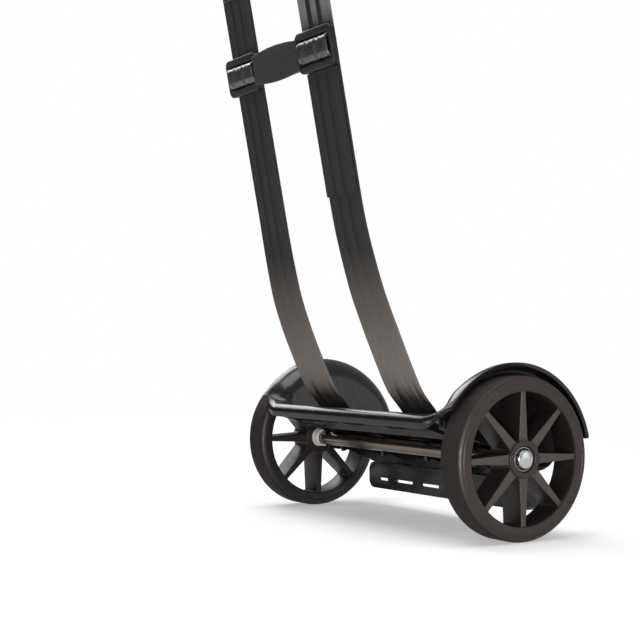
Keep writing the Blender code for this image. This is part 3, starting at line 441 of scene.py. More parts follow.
def woven_webbing(name, dark, light, gloss, polish=0.0):
    """Polyester webbing: dark flat yarn in a tight weave, with two broad grooves along it.

    The weave follows the strip's own UV map, which is in metres: U across it and V along it. The grooves are
    painted darker, as painted shade. Where a strap bends up over the deck's front it is painted a pale grey,
    in streaks, partly as wear and partly as painted light where it tilts up to the light. Above the near
    slider the strap is painted darker, with paler bands between the grooves as painted sheen. Polish is the
    share of a shine that pressing and use give it.
    """
    made, tree, shader = new_material(
        name, IOR=1.5, Specular_IOR_Level=0.3, Sheen_Weight=0.1, Sheen_Roughness=0.4,
        Sheen_Tint=from_hex("#8b8884"), Coat_Weight=polish, Coat_Roughness=0.17, Coat_IOR=1.65)
    flat = add_node(tree, "UVMap", uv_map="weave")["UV"]
    split = add_node(tree, "SeparateXYZ", [flat])
    across, along = split["X"], split["Y"]
    # A yarn is 0.5 mm wide in the real weave; it is drawn at 0.8 mm so that it shows in the render
    waves = []
    for distance, yarn in ((across, 0.0008), (along, 0.0010)):
        turn = add_node(tree, "Math", [distance, math.pi / yarn], operation="MULTIPLY")[0]
        waves.append(add_node(tree, "Math", [turn], operation="SINE")[0])
    crossing = add_node(tree, "Math", waves, operation="MULTIPLY")[0]
    weave = add_node(tree, "MapRange", [crossing, -1.0, 1.0, 0.0, 1.0])[0]
    fluff = add_node(
        tree, "TexNoise", {"Vector": flat, "Scale": 1 / 0.0012, "Detail": 4.0, "Roughness": 0.7})["Fac"]
    drawn_out = add_node(tree, "Mapping", {"Vector": flat, "Scale": (1.0, 0.06, 1.0)})[0]
    fine_streak, broad_streak = [
        add_node(tree, "TexNoise", {"Vector": drawn_out, "Scale": 1 / width, "Detail": detail})["Fac"]
        for width, detail in ((0.0016, 3.0), (0.0045, 2.0))]
    streaks = add_node(tree, "Math", [fine_streak, 0.6], operation="MULTIPLY")[0]
    shade = add_node(tree, "Math", [weave, 0.4, streaks], operation="MULTIPLY_ADD")[0]
    # Folded about the middle and then about a groove, so that one range serves both grooves
    off_groove = across
    for line in (STRAP_WIDTH / 2, STRAP_WIDTH * (STRAP_GROOVES[1] - 0.5)):
        past_line = add_node(tree, "Math", [off_groove, line], operation="SUBTRACT")[0]
        off_groove = add_node(tree, "Math", [past_line], operation="ABSOLUTE")[0]
    # Painted shade: the grooves are painted darker
    groove = add_node(tree, "MapRange", [off_groove, 0.0026, 0.0040, 0.60, 0.0])[0]
    # Painted pale where the strap bends up over the deck's front: partly wear, and partly painted light
    # where the webbing tilts up to the light
    ragged = add_node(tree, "Math", [broad_streak, 0.030, along], operation="MULTIPLY_ADD")[0]
    bent = add_node(tree, "MapRange", [ragged, 0.120, 0.136, 0.0, 1.0])[0]
    fading = add_node(tree, "MapRange", [along, 0.14, 0.235, 1.0, 0.0])[0]
    worn_and_lit = add_node(tree, "Math", [bent, fading], operation="MULTIPLY")[0]
    # Painted sheen above the near slider: the strap is painted darker there, with pale mottled bands between
    # the grooves as painted highlight
    place = add_node(tree, "SeparateXYZ", [add_node(tree, "TexCoord")["Object"]])["Y"]
    near_side = add_node(tree, "Math", [place, 0.0], operation="LESS_THAN")[0]
    high = add_node(tree, "MapRange", [along, 0.405, 0.425, 0.0, 0.8])[0]
    upper = add_node(tree, "Math", [near_side, high], operation="MULTIPLY")[0]
    off_bands = add_node(tree, "MapRange", [off_groove, 0.0031, 0.0038, 0.0, 1.0])[0]
    band = add_node(tree, "Math", [upper, off_bands], operation="MULTIPLY")[0]
    mottle = add_node(tree, "MapRange", [fluff, 0.3, 0.7, 0.0, 1.0])[0]
    pale = add_node(
        tree, "Mix", {0: mottle, 6: from_hex("#5d5d5d"), 7: from_hex("#8b8b8b")}, data_type="RGBA")[2]
    colour = from_hex(dark)
    # Layered in turn: weave and streaks, the grooves' painted shade, wear with painted light, and the near
    # strap's painted dark with its painted sheen bands
    layers = (
        (shade, from_hex(light)), (groove, from_hex("#0c0b0d")), (worn_and_lit, from_hex("#6c655f")),
        (upper, from_hex("#0c0c0d")), (band, pale))
    for share, paint in layers:
        colour = add_node(tree, "Mix", {0: share, 6: colour, 7: paint}, data_type="RGBA")[2]
    woven = add_node(tree, "Bump", {"Height": weave, "Distance": 0.00016, "Strength": 0.8})[0]
    set_inputs(shader, {
        "Base Color": colour,
        "Roughness": add_node(tree, "MapRange", [fluff, 0.3, 0.7, gloss, gloss + 0.2])[0],
        "Normal": add_node(
            tree, "Bump", {"Height": fluff, "Distance": 0.00008, "Strength": 0.4, "Normal": woven})[0]})
    return made


CRADLE_ABS = gloss_abs()
WHEEL_NYLON = satin_nylon()
BUSH_ACETAL = natural_acetal()
ROD_STEEL = ground_steel()
CAP_ZINC = zinc_plate()
WASHER_STEEL = black_phosphate()
STRAP_WEBBING = woven_webbing("polyester_webbing", "#131112", "#2d282a", 0.50)
# The webbing on the sliders' bars is pressed flat and polished by use
LOOP_WEBBING = woven_webbing("polished_polyester_webbing", "#0d0c0d", "#1e1c1e", 0.40, 1.0)
SLIDER_ACETAL = matte_acetal()
BAND_RUBBER = grained_rubber()
THREAD = polyester_thread()


# Building


def add_piece(name, mesh, finish, body, replaced=()):
    """Show a mesh as a piece of the object that rides on a body and takes its finish from a slot."""
    made = placed(name, mesh)
    mesh.materials.clear()
    mesh.materials.append(finish)
    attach(made, body)
    if replaced:
        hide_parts(*replaced)
    return made


def placed(name, data):
    """An object made from its data and linked into the scene."""
    made = bpy.data.objects.new(name, data)
    bpy.context.scene.collection.objects.link(made)
    return made


def add_modifier(thing, kind, **settings):
    """Give an object a modifier with its settings, worked after those that it has."""
    step = thing.modifiers.new(kind, kind)
    for name, value in settings.items():
        setattr(step, name, value)


def mesh_from(bm, name):
    mesh = bpy.data.meshes.new(name)
    bmesh.ops.recalc_face_normals(bm, faces=bm.faces)
    bm.to_mesh(mesh)
    bm.free()
    return mesh


def evaluated(thing, name):
    """The mesh that an object's modifiers give; the object is removed."""
    graph = bpy.context.evaluated_depsgraph_get()
    mesh = bpy.data.meshes.new_from_object(thing.evaluated_get(graph))
    mesh.name = name
    bpy.data.objects.remove(thing)
    return mesh


def combined(name, base, steps):
    """Join and cut meshes by Boolean: steps are (operation, mesh) pairs worked in turn."""
    thing = placed(base.name, base)
    others = []
    for operation, mesh in steps:
        other = placed(mesh.name, mesh)
        add_modifier(thing, "BOOLEAN", operation=operation, object=other, solver="EXACT")
        others.append(other)
    mesh = evaluated(thing, name)
    for other in others:
        bpy.data.objects.remove(other)
    return mesh


def rounded_edges(name, mesh, width, segments, degrees):
    """Round off a mesh's sharp edges."""
    thing = placed(mesh.name, mesh)
    add_modifier(
        thing, "BEVEL", width=width, segments=segments, limit_method="ANGLE",
        angle_limit=math.radians(degrees))
    return evaluated(thing, name)


def skin(bm, rings):
    """Close a row of rings into a skin with both ends capped, and give its side faces."""
    sides = []
    for ring, following in zip(rings, rings[1:]):
        for index in range(len(ring)):
            after = (index + 1) % len(ring)
            sides.append(bm.faces.new((ring[index], ring[after], following[after], following[index])))
    bm.faces.new(rings[0][::-1])
    bm.faces.new(rings[-1])
    return sides


def smooth(mesh, degrees=32):
    mesh.shade_smooth()
    mesh.set_sharp_from_angle(angle=math.radians(degrees))
    return mesh


# Planes that a flat outline can be drawn in, each a turn of the curve's own XY plane
IN_XY = Matrix.Identity(4)
IN_XZ = Matrix(((1, 0, 0, 0), (0, 0, -1, 0), (0, 1, 0, 0), (0, 0, 0, 1)))
IN_YZ = Matrix(((0, 0, 1, 0), (1, 0, 0, 0), (0, 1, 0, 0), (0, 0, 0, 1)))


def plate(name, outlines, thickness, plane, offset=(0, 0, 0), edge=0.0):
    """A flat piece: the first outline is its edge, the others are holes; edge rounds its rims."""
    curve = bpy.data.curves.new(name, "CURVE")
    curve.dimensions = "2D"
    curve.fill_mode = "BOTH"
    curve.extrude = thickness / 2 - edge
    if edge:
        curve.bevel_depth = edge
        curve.bevel_resolution = 2
        curve.offset = -edge
    for outline in outlines:
        spline = curve.splines.new("POLY")
        spline.points.add(len(outline) - 1)
        for point, (a, b) in zip(spline.points, outline):
            point.co = (a, b, 0.0, 1.0)
        spline.use_cyclic_u = True
    flat = evaluated(placed(name, curve), name)
    bpy.data.curves.remove(curve)
    bm = bmesh.new()
    bm.from_mesh(flat)
    bpy.data.meshes.remove(flat)
    bmesh.ops.remove_doubles(bm, verts=bm.verts, dist=SAME_POINT)
    bmesh.ops.transform(bm, matrix=Matrix.Translation(offset) @ plane, verts=bm.verts)
    return mesh_from(bm, name)


def arc(centre, radius, start, end, steps):
    """Points along an arc, angles in radians, both ends included."""
    points = []
    for step in range(steps + 1):
        angle = start + (end - start) * step / steps
        points.append((centre[0] + radius * math.cos(angle), centre[1] + radius * math.sin(angle)))
    return points


def rectangle(left, right, low, high):
    return [(left, low), (right, low), (right, high), (left, high)]


def rounded_rectangle(width, height, radius, steps=6, centre=(0.0, 0.0)):
    points = []
    for quarter, (sx, sy) in enumerate(((1, 1), (-1, 1), (-1, -1), (1, -1))):
        middle = (centre[0] + sx * (width / 2 - radius), centre[1] + sy * (height / 2 - radius))
        start = quarter * math.pi / 2
        points += arc(middle, radius, start, start + math.pi / 2, steps)
    return points


def softened(profile, radius, steps=4):
    """Round each corner of a closed outline by a small curve."""
    points = []
    count = len(profile)
    for index in range(count):
        corner = Vector(profile[index])
        before = Vector(profile[index - 1]) - corner
        after = Vector(profile[(index + 1) % count]) - corner
        reach = min(radius, before.length * 0.45, after.length * 0.45)
        start = corner + before.normalized() * reach
        end = corner + after.normalized() * reach
        for step in range(steps + 1):
            t = step / steps
            points.append(tuple(start * (1 - t) ** 2 + corner * 2 * t * (1 - t) + end * t * t))
    return points


def turned(name, profile, place, steps=96, closed=True):
    """A turned mesh whose profile of (radius, height) runs down its outer side first."""
    bm = bmesh.new()
    corners = [bm.verts.new((radius, 0.0, height)) for radius, height in profile]
    pairs = list(zip(corners, corners[1:]))
    if closed:
        pairs.append((corners[-1], corners[0]))
    for first, second in pairs:
        bm.edges.new((first, second))
    mesh = bpy.data.meshes.new(name)
    bm.to_mesh(mesh)
    bm.free()
    thing = placed(mesh.name, mesh)
    add_modifier(
        thing, "SCREW", steps=steps, render_steps=steps, use_merge_vertices=True,
        merge_threshold=SAME_POINT)
    mesh = evaluated(thing, name)
    mesh.transform(place)
    return mesh


def at_axle(side, distance):
    """Where a turned piece sits on the axle: its own Z points outboard on that side."""
    place = AXLE + Vector((0, side * distance, 0))
    return Matrix.Translation(place) @ Matrix.Rotation(-side * math.pi / 2, 4, "X")


# Wheels


def spoke_outline():
    """A spoke that tapers from the hub to the ring, a little flared where it meets them."""
    upper = []
    for step in range(6):
        share = step / 5
        flare = SPOKE_FLARE * (1 - share) ** 2
        upper.append((HUB_RADIUS + SPOKE_FLARE_LENGTH * share, SPOKE_WIDTH_HUB / 2 + flare))
    for step in range(6):
        share = step / 5
        flare = SPOKE_FLARE * share ** 2
        upper.append((RING_OPENING - SPOKE_FLARE_LENGTH * (1 - share), SPOKE_WIDTH_RIM / 2 + flare))
    inner, outer = HUB_RADIUS - SPOKE_ROOT, RING_OPENING + SPOKE_ROOT
    upper = [(inner, upper[0][1])] + upper + [(outer, upper[-1][1])]
    return upper + [(a, -b) for a, b in reversed(upper)]


def ring_profile():
    """The wheel's ring: tread, rounded shoulders, a fine raised line on each face and a straight opening."""
    half = WHEEL_WIDTH / 2
    shoulder = WHEEL_RADIUS - TREAD_SHOULDER
    right = arc((shoulder, half - TREAD_SHOULDER), TREAD_SHOULDER, math.radians(84), 0, 10)
    line = FACE_LINE_RADIUS
    face = [
        (RING_OPENING + 0.0007, half - 0.0001), (line - 0.0011, half - 0.0001),
        (line - 0.0008, half + FACE_LINE_RISE), (line - 0.0003, half + FACE_LINE_RISE),
        (line, half - 0.00003)]
    opening = [(RING_OPENING, half - 0.0008), (RING_OPENING + 0.0002, half - 0.0003)]
    upper = opening + face + right
    lower = [(radius, -height) for radius, height in reversed(upper)]
    return upper[2:] + lower + upper[:2]


def hub_profile():
    """The hub, bored for its bush, with a recess in its outer face for the cap."""
    half = WHEEL_WIDTH / 2
    floor = half - CAP_RECESS_DEPTH
    corners = [
        (HUB_RADIUS, half), (HUB_RADIUS, -half), (HUB_BORE, -half), (HUB_BORE, floor),
        (CAP_RECESS_RADIUS, floor), (CAP_RECESS_RADIUS, half)]
    return softened(corners, HUB_EDGE)


def build_wheel(side, name):
    body = f"{name}_wheel_body"
    at_centre = at_axle(side, TRACK / 2)
    depth = WHEEL_WIDTH - 2 * SPOKE_INSET
    parts = [turned("ring", ring_profile(), IN_XY, 160), turned("hub", hub_profile(), IN_XY, 72)]
    for index in range(SPOKE_COUNT):
        spoke = plate("spoke", [spoke_outline()], depth, IN_XY, edge=SPOKE_EDGE)
        spoke.transform(Matrix.Rotation(2 * math.pi * index / SPOKE_COUNT, 4, "Z"))
        parts.append(spoke)
    for degrees in FACE_PIP_ANGLES:
        angle = math.radians(degrees)
        dome = [(0.0, 0.0008), (0.0006, 0.0007), (0.0011, 0.0003), (0.0013, -0.0006), (0.0, -0.0006)]
        place = Matrix.Translation((
            FACE_PIP_RADIUS * math.cos(angle), FACE_PIP_RADIUS * math.sin(angle), WHEEL_WIDTH / 2))
        parts.append(turned("pip", dome, place, 16, closed=False))
    mesh = joined(f"{name}_wheel_moulding", parts)
    mesh.transform(at_centre)
    add_piece(f"{name}_wheel_moulding", smooth(mesh), WHEEL_NYLON, body, [f"{name}_wheel"])
    half = WHEEL_WIDTH / 2
    floor = half - CAP_RECESS_DEPTH
    corners = [(BUSH_RADIUS, floor), (BUSH_RADIUS, -half), (AXLE_BORE, -half), (AXLE_BORE, floor)]
    bush = turned(f"{name}_bush", softened(corners, BUSH_EDGE), at_centre, 64)
    add_piece(f"{name}_bush", smooth(bush), BUSH_ACETAL, body, [f"{name}_hub_bush"])


# Axle, spacers, washers and caps


def build_axle():
    reach = TRACK / 2 + WHEEL_WIDTH / 2 - CAP_RECESS_DEPTH + WASHER_THICKNESS + 2 * GAP + CAP_HEIGHT / 2
    profile = [(0.0, reach)]
    edge = AXLE_EDGE
    profile += arc((AXLE_RADIUS - edge, reach - edge), edge, math.pi / 2, 0, 5)
    profile += arc((AXLE_RADIUS - edge, edge - reach), edge, 0, -math.pi / 2, 5)
    profile.append((0.0, -reach))
    mesh = turned("axle_rod", profile, at_axle(1, 0), 96, closed=False)
    add_piece("axle_rod", smooth(mesh), ROD_STEEL, "chassis", ["axle"])


def build_axle_end(side, name):
    spacer = [
        (SPACER_RADIUS, SPACER_LENGTH), (SPACER_RADIUS, 0.0), (AXLE_BORE, 0.0), (AXLE_BORE, SPACER_LENGTH)]
    mesh = turned(f"{name}_spacer", softened(spacer, SPACER_EDGE), at_axle(side, BRACKET_OUTER + GAP), 64)
    replaced = [f"{name}_axle_spacer"]
    add_piece(f"{name}_spacer", smooth(mesh), BUSH_ACETAL, "chassis", replaced)
    seat = TRACK / 2 + WHEEL_WIDTH / 2 - CAP_RECESS_DEPTH + GAP
    rim = WASHER_RADIUS - 0.0005
    dished = [
        (rim, 0.0007), (rim, 0.0), (AXLE_BORE, 0.0), (AXLE_BORE, 0.0008), (CAP_RADIUS + 0.0003, 0.0008)]
    mesh = turned(f"{name}_washer", softened(dished, WASHER_EDGE), at_axle(side, seat), 72)
    replaced = [f"{name}_cap_washer"]
    add_piece(f"{name}_washer", smooth(mesh), WASHER_STEEL, "chassis", replaced)
    ring = [
        (WASHER_RADIUS, WASHER_THICKNESS), (WASHER_RADIUS, 0.0), (rim + 0.00005, 0.0),
        (rim + 0.00005, WASHER_THICKNESS)]
    mesh = turned(f"{name}_washer_rim", softened(ring, WASHER_RIM_EDGE), at_axle(side, seat), 72)
    add_piece(f"{name}_washer_rim", smooth(mesh), CAP_ZINC, "chassis")
    build_cap(side, name, seat + WASHER_THICKNESS + GAP)


def build_cap(side, name, base):
    """A domed cap pushed over the end of the axle, with a turned-out foot."""
    inside = CAP_HEIGHT / 2 + GAP
    shoulder = CAP_HEIGHT * 0.45
    profile = [(0.0, CAP_HEIGHT)]
    for step in range(1, 15):
        angle = math.pi / 2 * step / 14
        radius = (CAP_RADIUS - 0.0003) * math.sin(angle) ** 0.86
        profile.append((radius, shoulder + (CAP_HEIGHT - shoulder) * math.cos(angle) ** 0.8))
    profile += [(CAP_RADIUS - 0.0002, 0.0006), (CAP_RADIUS, 0.0002), (CAP_RADIUS, 0.0)]
    profile += [(AXLE_BORE, 0.0), (AXLE_BORE, inside), (0.0, inside)]
    mesh = turned(f"{name}_cap", profile, at_axle(side, base), 72, closed=False)
    add_piece(f"{name}_cap", smooth(mesh, 50), CAP_ZINC, "chassis", [f"{name}_axle_cap"])


# Cradle


def eased(share):
    """A share from 0 to 1 that starts and ends gently."""
    share = min(1.0, max(0.0, share))
    return share * share * (3 - 2 * share)


def deck_top(x):
    """Height of the deck's upper face over the axle's centre."""
    return DECK_OVER_AXLE - SLOPE * x


def cradle_sections(steps=40, roll_steps=10):
    """Pairs of section points from the deck's front to its rear roll: (on the deck, on the hood's edge)."""
    front = Vector((DECK_FRONT, deck_top(DECK_FRONT)))
    rear = Vector((DECK_REAR, deck_top(DECK_REAR)))
    normal_angle = math.atan2(DECK_NORMAL.y, DECK_NORMAL.x)
    deck_line = [front.lerp(rear, step / steps) for step in range(steps + 1)]
    rear_centre = rear - DECK_NORMAL * REAR_ROLL
    rear_roll = arc(rear_centre, REAR_ROLL, normal_angle, 0.0, roll_steps)[1:]
    deck_line += [Vector(point) for point in rear_roll]
    # Over the deck the hood's line runs through ten fourteenths of its turn, over the rear roll the rest
    shares = []
    for index in range(len(deck_line)):
        if index <= steps:
            shares.append(index / steps * 10 / 14)
        else:
            shares.append((10 + 4 * (index - steps) / roll_steps) / 14)
    pairs = []
    for deck, share in zip(deck_line, shares):
        angle = HOOD_FRONT_ANGLE + (HOOD_REAR_ANGLE - HOOD_FRONT_ANGLE) * share
        hood = (HOOD_SETBACK + HOOD_RADIUS * math.cos(angle), HOOD_RADIUS * math.sin(angle) - HOOD_DROP)
        pairs.append((deck, Vector(hood)))
    return pairs


def across(height):
    """Stations from the middle of the deck out to the hood's edge: (y, share of the height)."""
    fillet = min(SEAT_FILLET, 0.30 * height)
    roll = min(HOOD_ROLL, 0.60 * height)
    wall = SEAT_WIDTH / 2
    flat = wall - SEAT_FILLET
    flat_from = HOOD_LIP - HOOD_EDGE
    stations = []
    for step in range(11):
        angle = math.pi / 2 * step / 10
        stations.append((flat + SEAT_FILLET * math.sin(angle), fillet * (1 - math.cos(angle))))
    roll_from = wall + WALL_DRAFT * (height - roll - fillet) / (HOOD_RADIUS - DECK_OVER_AXLE)
    for step in range(1, 8):
        share = step / 8
        stations.append((wall + (roll_from - wall) * share, fillet + (height - roll - fillet) * share))
    for step in range(19):
        angle = math.pi / 2 * step / 18
        y = roll_from + (flat_from - roll_from) * (1 - math.cos(angle))
        stations.append((y, height - roll + roll * math.sin(angle)))
    high = eased((height - LOW_HOOD) / (HIGH_HOOD - LOW_HOOD))
    blended = [(flat * step / 24, 0.0) for step in range(24)]
    for index, (y, level) in enumerate(stations):
        share = index / (len(stations) - 1)
        rise = eased(share)
        easy_y = flat + (flat_from - flat) * share
        blended.append((easy_y + (y - easy_y) * high, rise + (level / height - rise) * high))
    return blended + [(HOOD_LIP, 1.0)]


def shell_mesh():
    """The cradle's shell with its wall: the deck, front lip, rear roll and both hoods."""
    rows = []
    for deck, hood in cradle_sections():
        row = []
        for y, share in across((hood - deck).length):
            point = deck.lerp(hood, share)
            row.append((point.x, y, point.y, share))
        rows.append(row)
    deck_angle = math.atan2(DECK_NORMAL.y, DECK_NORMAL.x)
    lip_steps = 16
    lip = [[] for _ in range(lip_steps + 1)]
    for x, y, z, share in rows[0]:
        angle = deck_angle + (HOOD_FRONT_ANGLE - deck_angle) * share
        centre = (x - FRONT_ROLL * math.cos(angle), z - FRONT_ROLL * math.sin(angle))
        full = 1 - (1 - LIP_AT_HOOD) * eased(share)
        end = angle + (LIP_ANGLE - angle) * full
        curl = arc(centre, FRONT_ROLL, end, angle, lip_steps)[:-1]
        foot = (curl[0][0] - math.sin(end) * FRONT_LIP * full, curl[0][1] + math.cos(end) * FRONT_LIP * full)
        for line, (px, pz) in zip(lip, [foot] + curl):
            line.append((px, y, pz, share))
    bm = bmesh.new()
    grid = [[bm.verts.new(point[:3]) for point in row] for row in lip + rows]
    for row, following in zip(grid, grid[1:]):
        for a, b, c, d in zip(row, row[1:], following[1:], following):
            bm.faces.new((a, b, c, d))
    bm.normal_update()
    level = max(bm.faces, key=lambda face: abs(face.normal.z))
    if level.normal.z < 0:
        bmesh.ops.reverse_faces(bm, faces=bm.faces)
    mesh = bpy.data.meshes.new("shell")
    bm.to_mesh(mesh)
    bm.free()
    thing = placed(mesh.name, mesh)
    add_modifier(thing, "MIRROR", use_axis=(False, True, False), merge_threshold=MIDDLE_SEAM)
    add_modifier(thing, "SOLIDIFY", thickness=WALL, offset=-1.0)
    add_modifier(
        thing, "BEVEL", width=SHELL_RIM, segments=3, limit_method="ANGLE", angle_limit=math.radians(60))
    return evaluated(thing, "shell")


def web_outline(deep):
    """A web under the deck: it hooks over the back half of the axle and runs on to the rail."""
    inside = WALL / 2
    front = DECK_FRONT + WEB_SETBACK
    rear = DECK_REAR + REAR_ROLL / 2
    bore = AXLE_BORE
    wall = WEB_UNDER_AXLE
    points = [(front, deck_top(front) - inside), (rear, deck_top(rear) - inside)]
    if not deep:
        points += [(rear, RAIL_TOP - RAIL_EDGE), (rear - RAIL_DEPTH / 2, RAIL_TOP - RAIL_EDGE)]
    points += [(bore + wall, -bore - wall)]
    points += arc((0.0, 0.0), bore + wall, math.radians(-60), math.radians(-88), 4)
    points += arc((0.0, 0.0), bore, math.radians(-88), math.radians(92), 32)
    upper = deck_top(-bore) - WALL - WEB_DEPTH_FRONT / 2
    points += [(-bore * 0.6, upper), (front, deck_top(front) - WALL - WEB_DEPTH_FRONT)]
    return points


def joined(name, meshes):
    bm = bmesh.new()
    for mesh in meshes:
        bm.from_mesh(mesh)
        bpy.data.meshes.remove(mesh)
    return mesh_from(bm, name)


def rail_parts():
    """The rail, the skirt that joins it to the deck's rear roll, and the rail's hollow."""
    edge = rounded_rectangle(RAIL_LENGTH, RAIL_HEIGHT, RAIL_CORNER, 10, (0.0, RAIL_MIDDLE))
    rail = plate("rail", [edge], RAIL_DEPTH, IN_YZ, (REAR_FACE - RAIL_DEPTH / 2, 0, 0))
    half = (RAIL_LENGTH - RAIL_CORNER) / 2
    top = deck_top(DECK_REAR) - REAR_ROLL * 0.7
    edge = rectangle(-half, half, RAIL_MIDDLE, top)
    skirt = plate("skirt", [edge], SKIRT_THICKNESS, IN_YZ, (REAR_FACE - WALL / 2, 0, 0))
    edge = rounded_rectangle(
        RAIL_LENGTH - 2 * WALL, RAIL_HEIGHT - 2 * WALL, RAIL_CORNER - WALL, 6, (0.0, RAIL_MIDDLE))
    depth = RAIL_DEPTH - WALL + CUT_OVER
    hollow = plate("hollow", [edge], depth, IN_YZ, (REAR_FACE + CUT_OVER - depth / 2, 0, 0))
    return rounded_edges("rail", rail, RAIL_EDGE, 6, 60), skirt, hollow


def webs():
    """The webs and the two end brackets, which carry the axle."""
    plates = []
    for side in (-1, 1):
        for place in WEB_PLACES:
            plates.append(plate("web", [web_outline(False)], WEB_THICKNESS, IN_XZ, (0, side * place, 0)))
        place = side * (BRACKET_OUTER - BRACKET_THICKNESS / 2)
        plates.append(plate(
            "bracket", [web_outline(True)], BRACKET_THICKNESS, IN_XZ, (0, place, 0), BRACKET_EDGE))
    return joined("webs", plates)


def ribs():
    """The long ribs under the deck and on the skirt's front."""
    made = []
    half = SEAT_WIDTH / 2
    for x in LONG_RIB_PLACES:
        edge = rectangle(-half, half, deck_top(x) - WALL - LONG_RIB_DEPTH, deck_top(x) - WALL / 2)
        made.append(plate("long_rib", [edge], LONG_RIB_THICKNESS, IN_YZ, (x, 0, 0)))
    half = RAIL_LENGTH / 2 - RAIL_CORNER
    middle_x = REAR_FACE - WALL / 2 - SKIRT_RIB_DEPTH / 2
    for place in SKIRT_RIB_PLACES:
        edge = rectangle(-half, half, place - SKIRT_RIB_THICKNESS / 2, place + SKIRT_RIB_THICKNESS / 2)
        made.append(plate("skirt_rib", [edge], SKIRT_RIB_DEPTH, IN_YZ, (middle_x, 0, 0)))
    return joined("ribs", made)


def deck_cutters(name, outline, depth, x, above):
    """A cutter for each strap, square to the deck: its middle is above the deck's face at x."""
    middle = Vector((x, deck_top(x))) + DECK_NORMAL * above
    cutters = []
    for side in (-1, 1):
        cutter = plate(name, [outline], depth, IN_XY)
        place = Matrix.Translation((middle.x, side * STRAP_SPACING / 2, middle.y))
        cutter.transform(place @ Matrix.Rotation(DECK_ANGLE, 4, "Y"))
        cutters.append(cutter)
    return joined(name, cutters)


def windows():
    """The cutters for the row of slits along the rail."""
    length = (RAIL_LENGTH - 2 * WINDOW_END_WALL - (WINDOW_COUNT - 1) * WINDOW_BAR) / WINDOW_COUNT
    cutters = []
    for index in range(WINDOW_COUNT):
        y = (length + WINDOW_BAR) * (index - (WINDOW_COUNT - 1) / 2)
        slit = rounded_rectangle(length, WINDOW_HEIGHT, WINDOW_CORNER, 3, (y, RAIL_BOTTOM + WINDOW_RISE))
        depth = RAIL_DEPTH + 2 * CUT_OVER
        cutters.append(plate("window", [slit], depth, IN_YZ, (REAR_FACE - RAIL_DEPTH / 2, 0, 0)))
    return joined("windows", cutters)


def build_cradle():
    """The shell, its webs, ribs and rail as one moulding, with the strap slots and windows cut."""
    rail, skirt, hollow = rail_parts()
    slot = rounded_rectangle(SLOT_WIDTH, STRAP_WIDTH + 2 * SLOT_SIDE_ROOM, SLOT_WIDTH * 0.45, 5)
    slots = deck_cutters("slots", slot, WALL + 2 * CUT_OVER, SLOT_PLACE, -WALL / 2)
    half = STRAP_WIDTH / 2 + LANE_SIDE_ROOM
    reach = (DECK_REAR - DECK_FRONT) / math.cos(DECK_ANGLE) / 2 + CUT_OVER
    lanes = deck_cutters(
        "lanes", rectangle(-reach, reach, -half, half), LANE_DEPTH + CUT_OVER, (DECK_FRONT + DECK_REAR) / 2,
        (CUT_OVER - LANE_DEPTH) / 2)
    mesh = combined("cradle_moulding", shell_mesh(), [
        ("UNION", skirt), ("UNION", rail), ("UNION", webs()), ("UNION", ribs()), ("DIFFERENCE", lanes),
        ("DIFFERENCE", hollow), ("DIFFERENCE", slots), ("DIFFERENCE", windows())])
    mesh.transform(Matrix.Translation(AXLE))
    add_piece("cradle_moulding", smooth(mesh), CRADLE_ABS, "chassis", ["cradle"])


# Straps


def strap_line(height):
    """The straight upper run of the straps' middle surface, by its height over the axle."""
    return Vector((STRAP_LINE_X - math.tan(STRAP_LEAN) * (height - STRAP_STRAIGHT_FROM), height))


def strap_turn(share):
    """The turn that the straps' upper run takes about its own direction, as it follows the instrument."""
    pivot = strap_line(STRAP_STRAIGHT_FROM)
    centre = Matrix.Translation((pivot.x, STRAP_TURN_AT, pivot.y))
    direction = Vector((-math.sin(STRAP_LEAN), 0, math.cos(STRAP_LEAN)))
    return centre @ Matrix.Rotation(-STRAP_TURN * share, 4, direction) @ centre.inverted()


def on_strap(mesh):
    """Turn the upper part of a mesh with the straps, and move it to its place round the axle."""
    for vert in mesh.vertices:
        share = eased((vert.co.z - STRAP_TURN_FROM) / (STRAP_STRAIGHT_FROM - STRAP_TURN_FROM))
        vert.co = AXLE + strap_turn(share) @ vert.co
    return mesh


def through(points, step):
    """A smooth curve through the points, read about every step metres."""
    points = [Vector(point) for point in points]
    ends = [points[0] * 2 - points[1]] + points + [points[-1] * 2 - points[-2]]
    curve = []
    for index in range(1, len(ends) - 2):
        a, b, c, d = ends[index - 1:index + 3]
        count = max(1, round((c - b).length / step))
        for part in range(count):
            t = part / count
            curve.append(0.5 * (2 * b + (c - a) * t + (2 * a - 5 * b + 4 * c - d) * t * t
                                + (3 * b - a - 3 * c + d) * t * t * t))
    curve.append(points[-1])
    return curve


